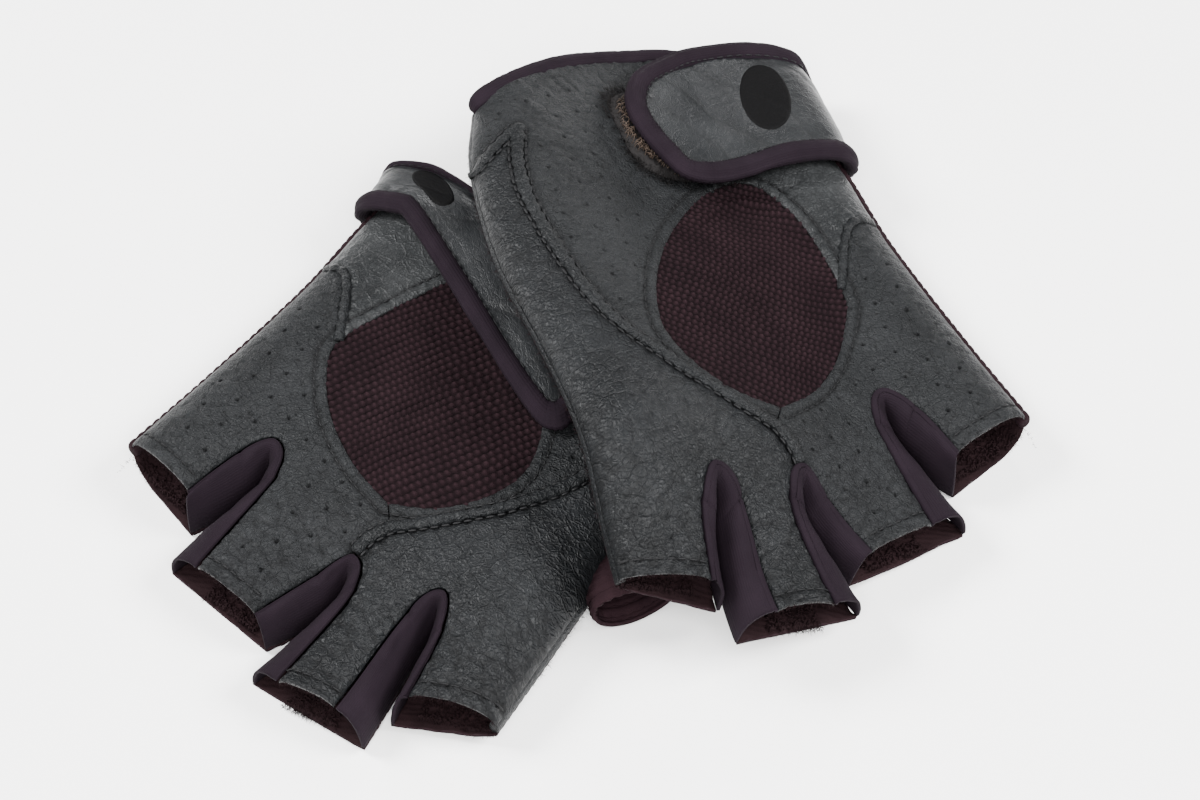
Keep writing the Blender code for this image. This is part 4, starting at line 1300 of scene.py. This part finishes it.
def cord_edges(side, glove):
    """The rounded side edges that close the gap between leather and back.

    On the little finger's side they are the ends of the back's knitted ribs, which stand out in scallops.
    """
    ring = turns(14)
    for name, low, high, offset, half_width, scalloped, cloth, slot in (
            ("little", -3.4, LITTLE_SPAN[1], 0.3, 1.6, 0.25, KNIT_CLOTH, "knit"),
            ("thumb", *THUMB_SPAN, 0.9, 1.2, 0.06, WELT_LEATHER, "leather")):
        line = even(between(name, low, high, 90), EDGE_STEP) + (offset, 0)
        arc = np.arange(len(line)) * EDGE_STEP
        scallop = 1 - scalloped * (1 - np.abs(np.sin(np.pi * arc / BACK_ROW)) ** 0.5)
        profile = np.stack([half_width * np.cos(ring), 2.4 * np.sin(ring)], -1) * scallop[:, None, None]
        shape = ribbon(line, profile, lambda u, v, h: lay(glove, u, v, seam_height(u) + 0.35 + h))
        settle(shape_piece(f"{side}_{name}_side_edge", shape, cloth), side + "_glove", slot)


# ---------------------------------------------------------------- joining it all to the frame
def settle(piece, body, slot, *nodes):
    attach(piece, body)
    if nodes:
        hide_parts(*nodes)


def settle_strap(piece, side, glove, slot, *nodes):
    """A piece of the strap, with its place baked into its points and the solids that it stands for hidden."""
    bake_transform(piece)
    if nodes:
        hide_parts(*nodes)


for side_name, glove_data in GLOVES.items():
    palm_pieces(side_name, glove_data)
    back_piece(side_name, glove_data)
    fourchette_pieces(side_name, glove_data)
    thumb_piece(side_name, glove_data)
    wrist_hem(side_name, glove_data)
    strap_pieces(side_name, glove_data)
    strap_base_piece(side_name, glove_data)
    pile_patch(side_name, glove_data)
    seam_pieces(side_name, glove_data)
    frayed_edges(side_name, glove_data)
    terry_lining(side_name, glove_data)
    cord_edges(side_name, glove_data)


# ---------------------------------------------------------------- floor, lights and camera
def stage_floor():
    made, tree, shader = start_material("floor")
    feed(tree, shader, {"Base Color": (0.97, 0.965, 0.96, 1), "Roughness": 0.8, "Specular IOR Level": 0.1})
    data = bpy.data.meshes.new("floor")
    corners = [(x * FLOOR_HALF, y * FLOOR_HALF, 0) for x, y in ((-1, -1), (1, -1), (1, 1), (-1, 1))]
    data.from_pydata(corners, [], [(0, 1, 2, 3)])
    data.materials.append(made)
    floor = bpy.data.objects.new("floor", data)
    bpy.context.scene.collection.objects.link(floor)


def area_light(name, place, size, power):
    """A round lamp, in metres and watts, that faces the middle of the scene."""
    lamp = bpy.data.lights.new(name, "AREA")
    lamp.shape = "DISK"
    lamp.size = size
    lamp.energy = power
    item = bpy.data.objects.new(name, lamp)
    item.location = place
    item.rotation_euler = (-Vector(place)).to_track_quat("-Z", "Y").to_euler()
    bpy.context.scene.collection.objects.link(item)


def set_camera():
    target = Vector(CAMERA_TARGET) * MM
    tilt = math.radians(CAMERA_TILT)
    camera = bpy.data.objects.new("camera", bpy.data.cameras.new("camera"))
    camera.data.lens = 85
    camera.data.sensor_width = 36
    camera.data.clip_start = 0.01
    camera.location = target - Vector((0, math.cos(tilt), -math.sin(tilt))) * CAMERA_DISTANCE
    camera.rotation_euler = (math.pi / 2 - tilt, 0, 0)
    bpy.context.scene.collection.objects.link(camera)
    bpy.context.scene.camera = camera


stage_floor()
area_light("key", (-1.0, 0.25, 0.95), 0.6, 52)
area_light("fill", (1.0, -0.1, 0.95), 0.7, 48)
area_light("front", (0.0, -0.9, 1.1), 0.9, 52)
area_light("glint", (0.15, 1.1, 0.75), 0.3, 7)
world = bpy.data.worlds.new("studio")
world.use_nodes = True
world.node_tree.nodes["Background"].inputs["Color"].default_value = (1, 1, 1, 1)
world.node_tree.nodes["Background"].inputs["Strength"].default_value = 0.3
bpy.context.scene.world = world
set_camera()
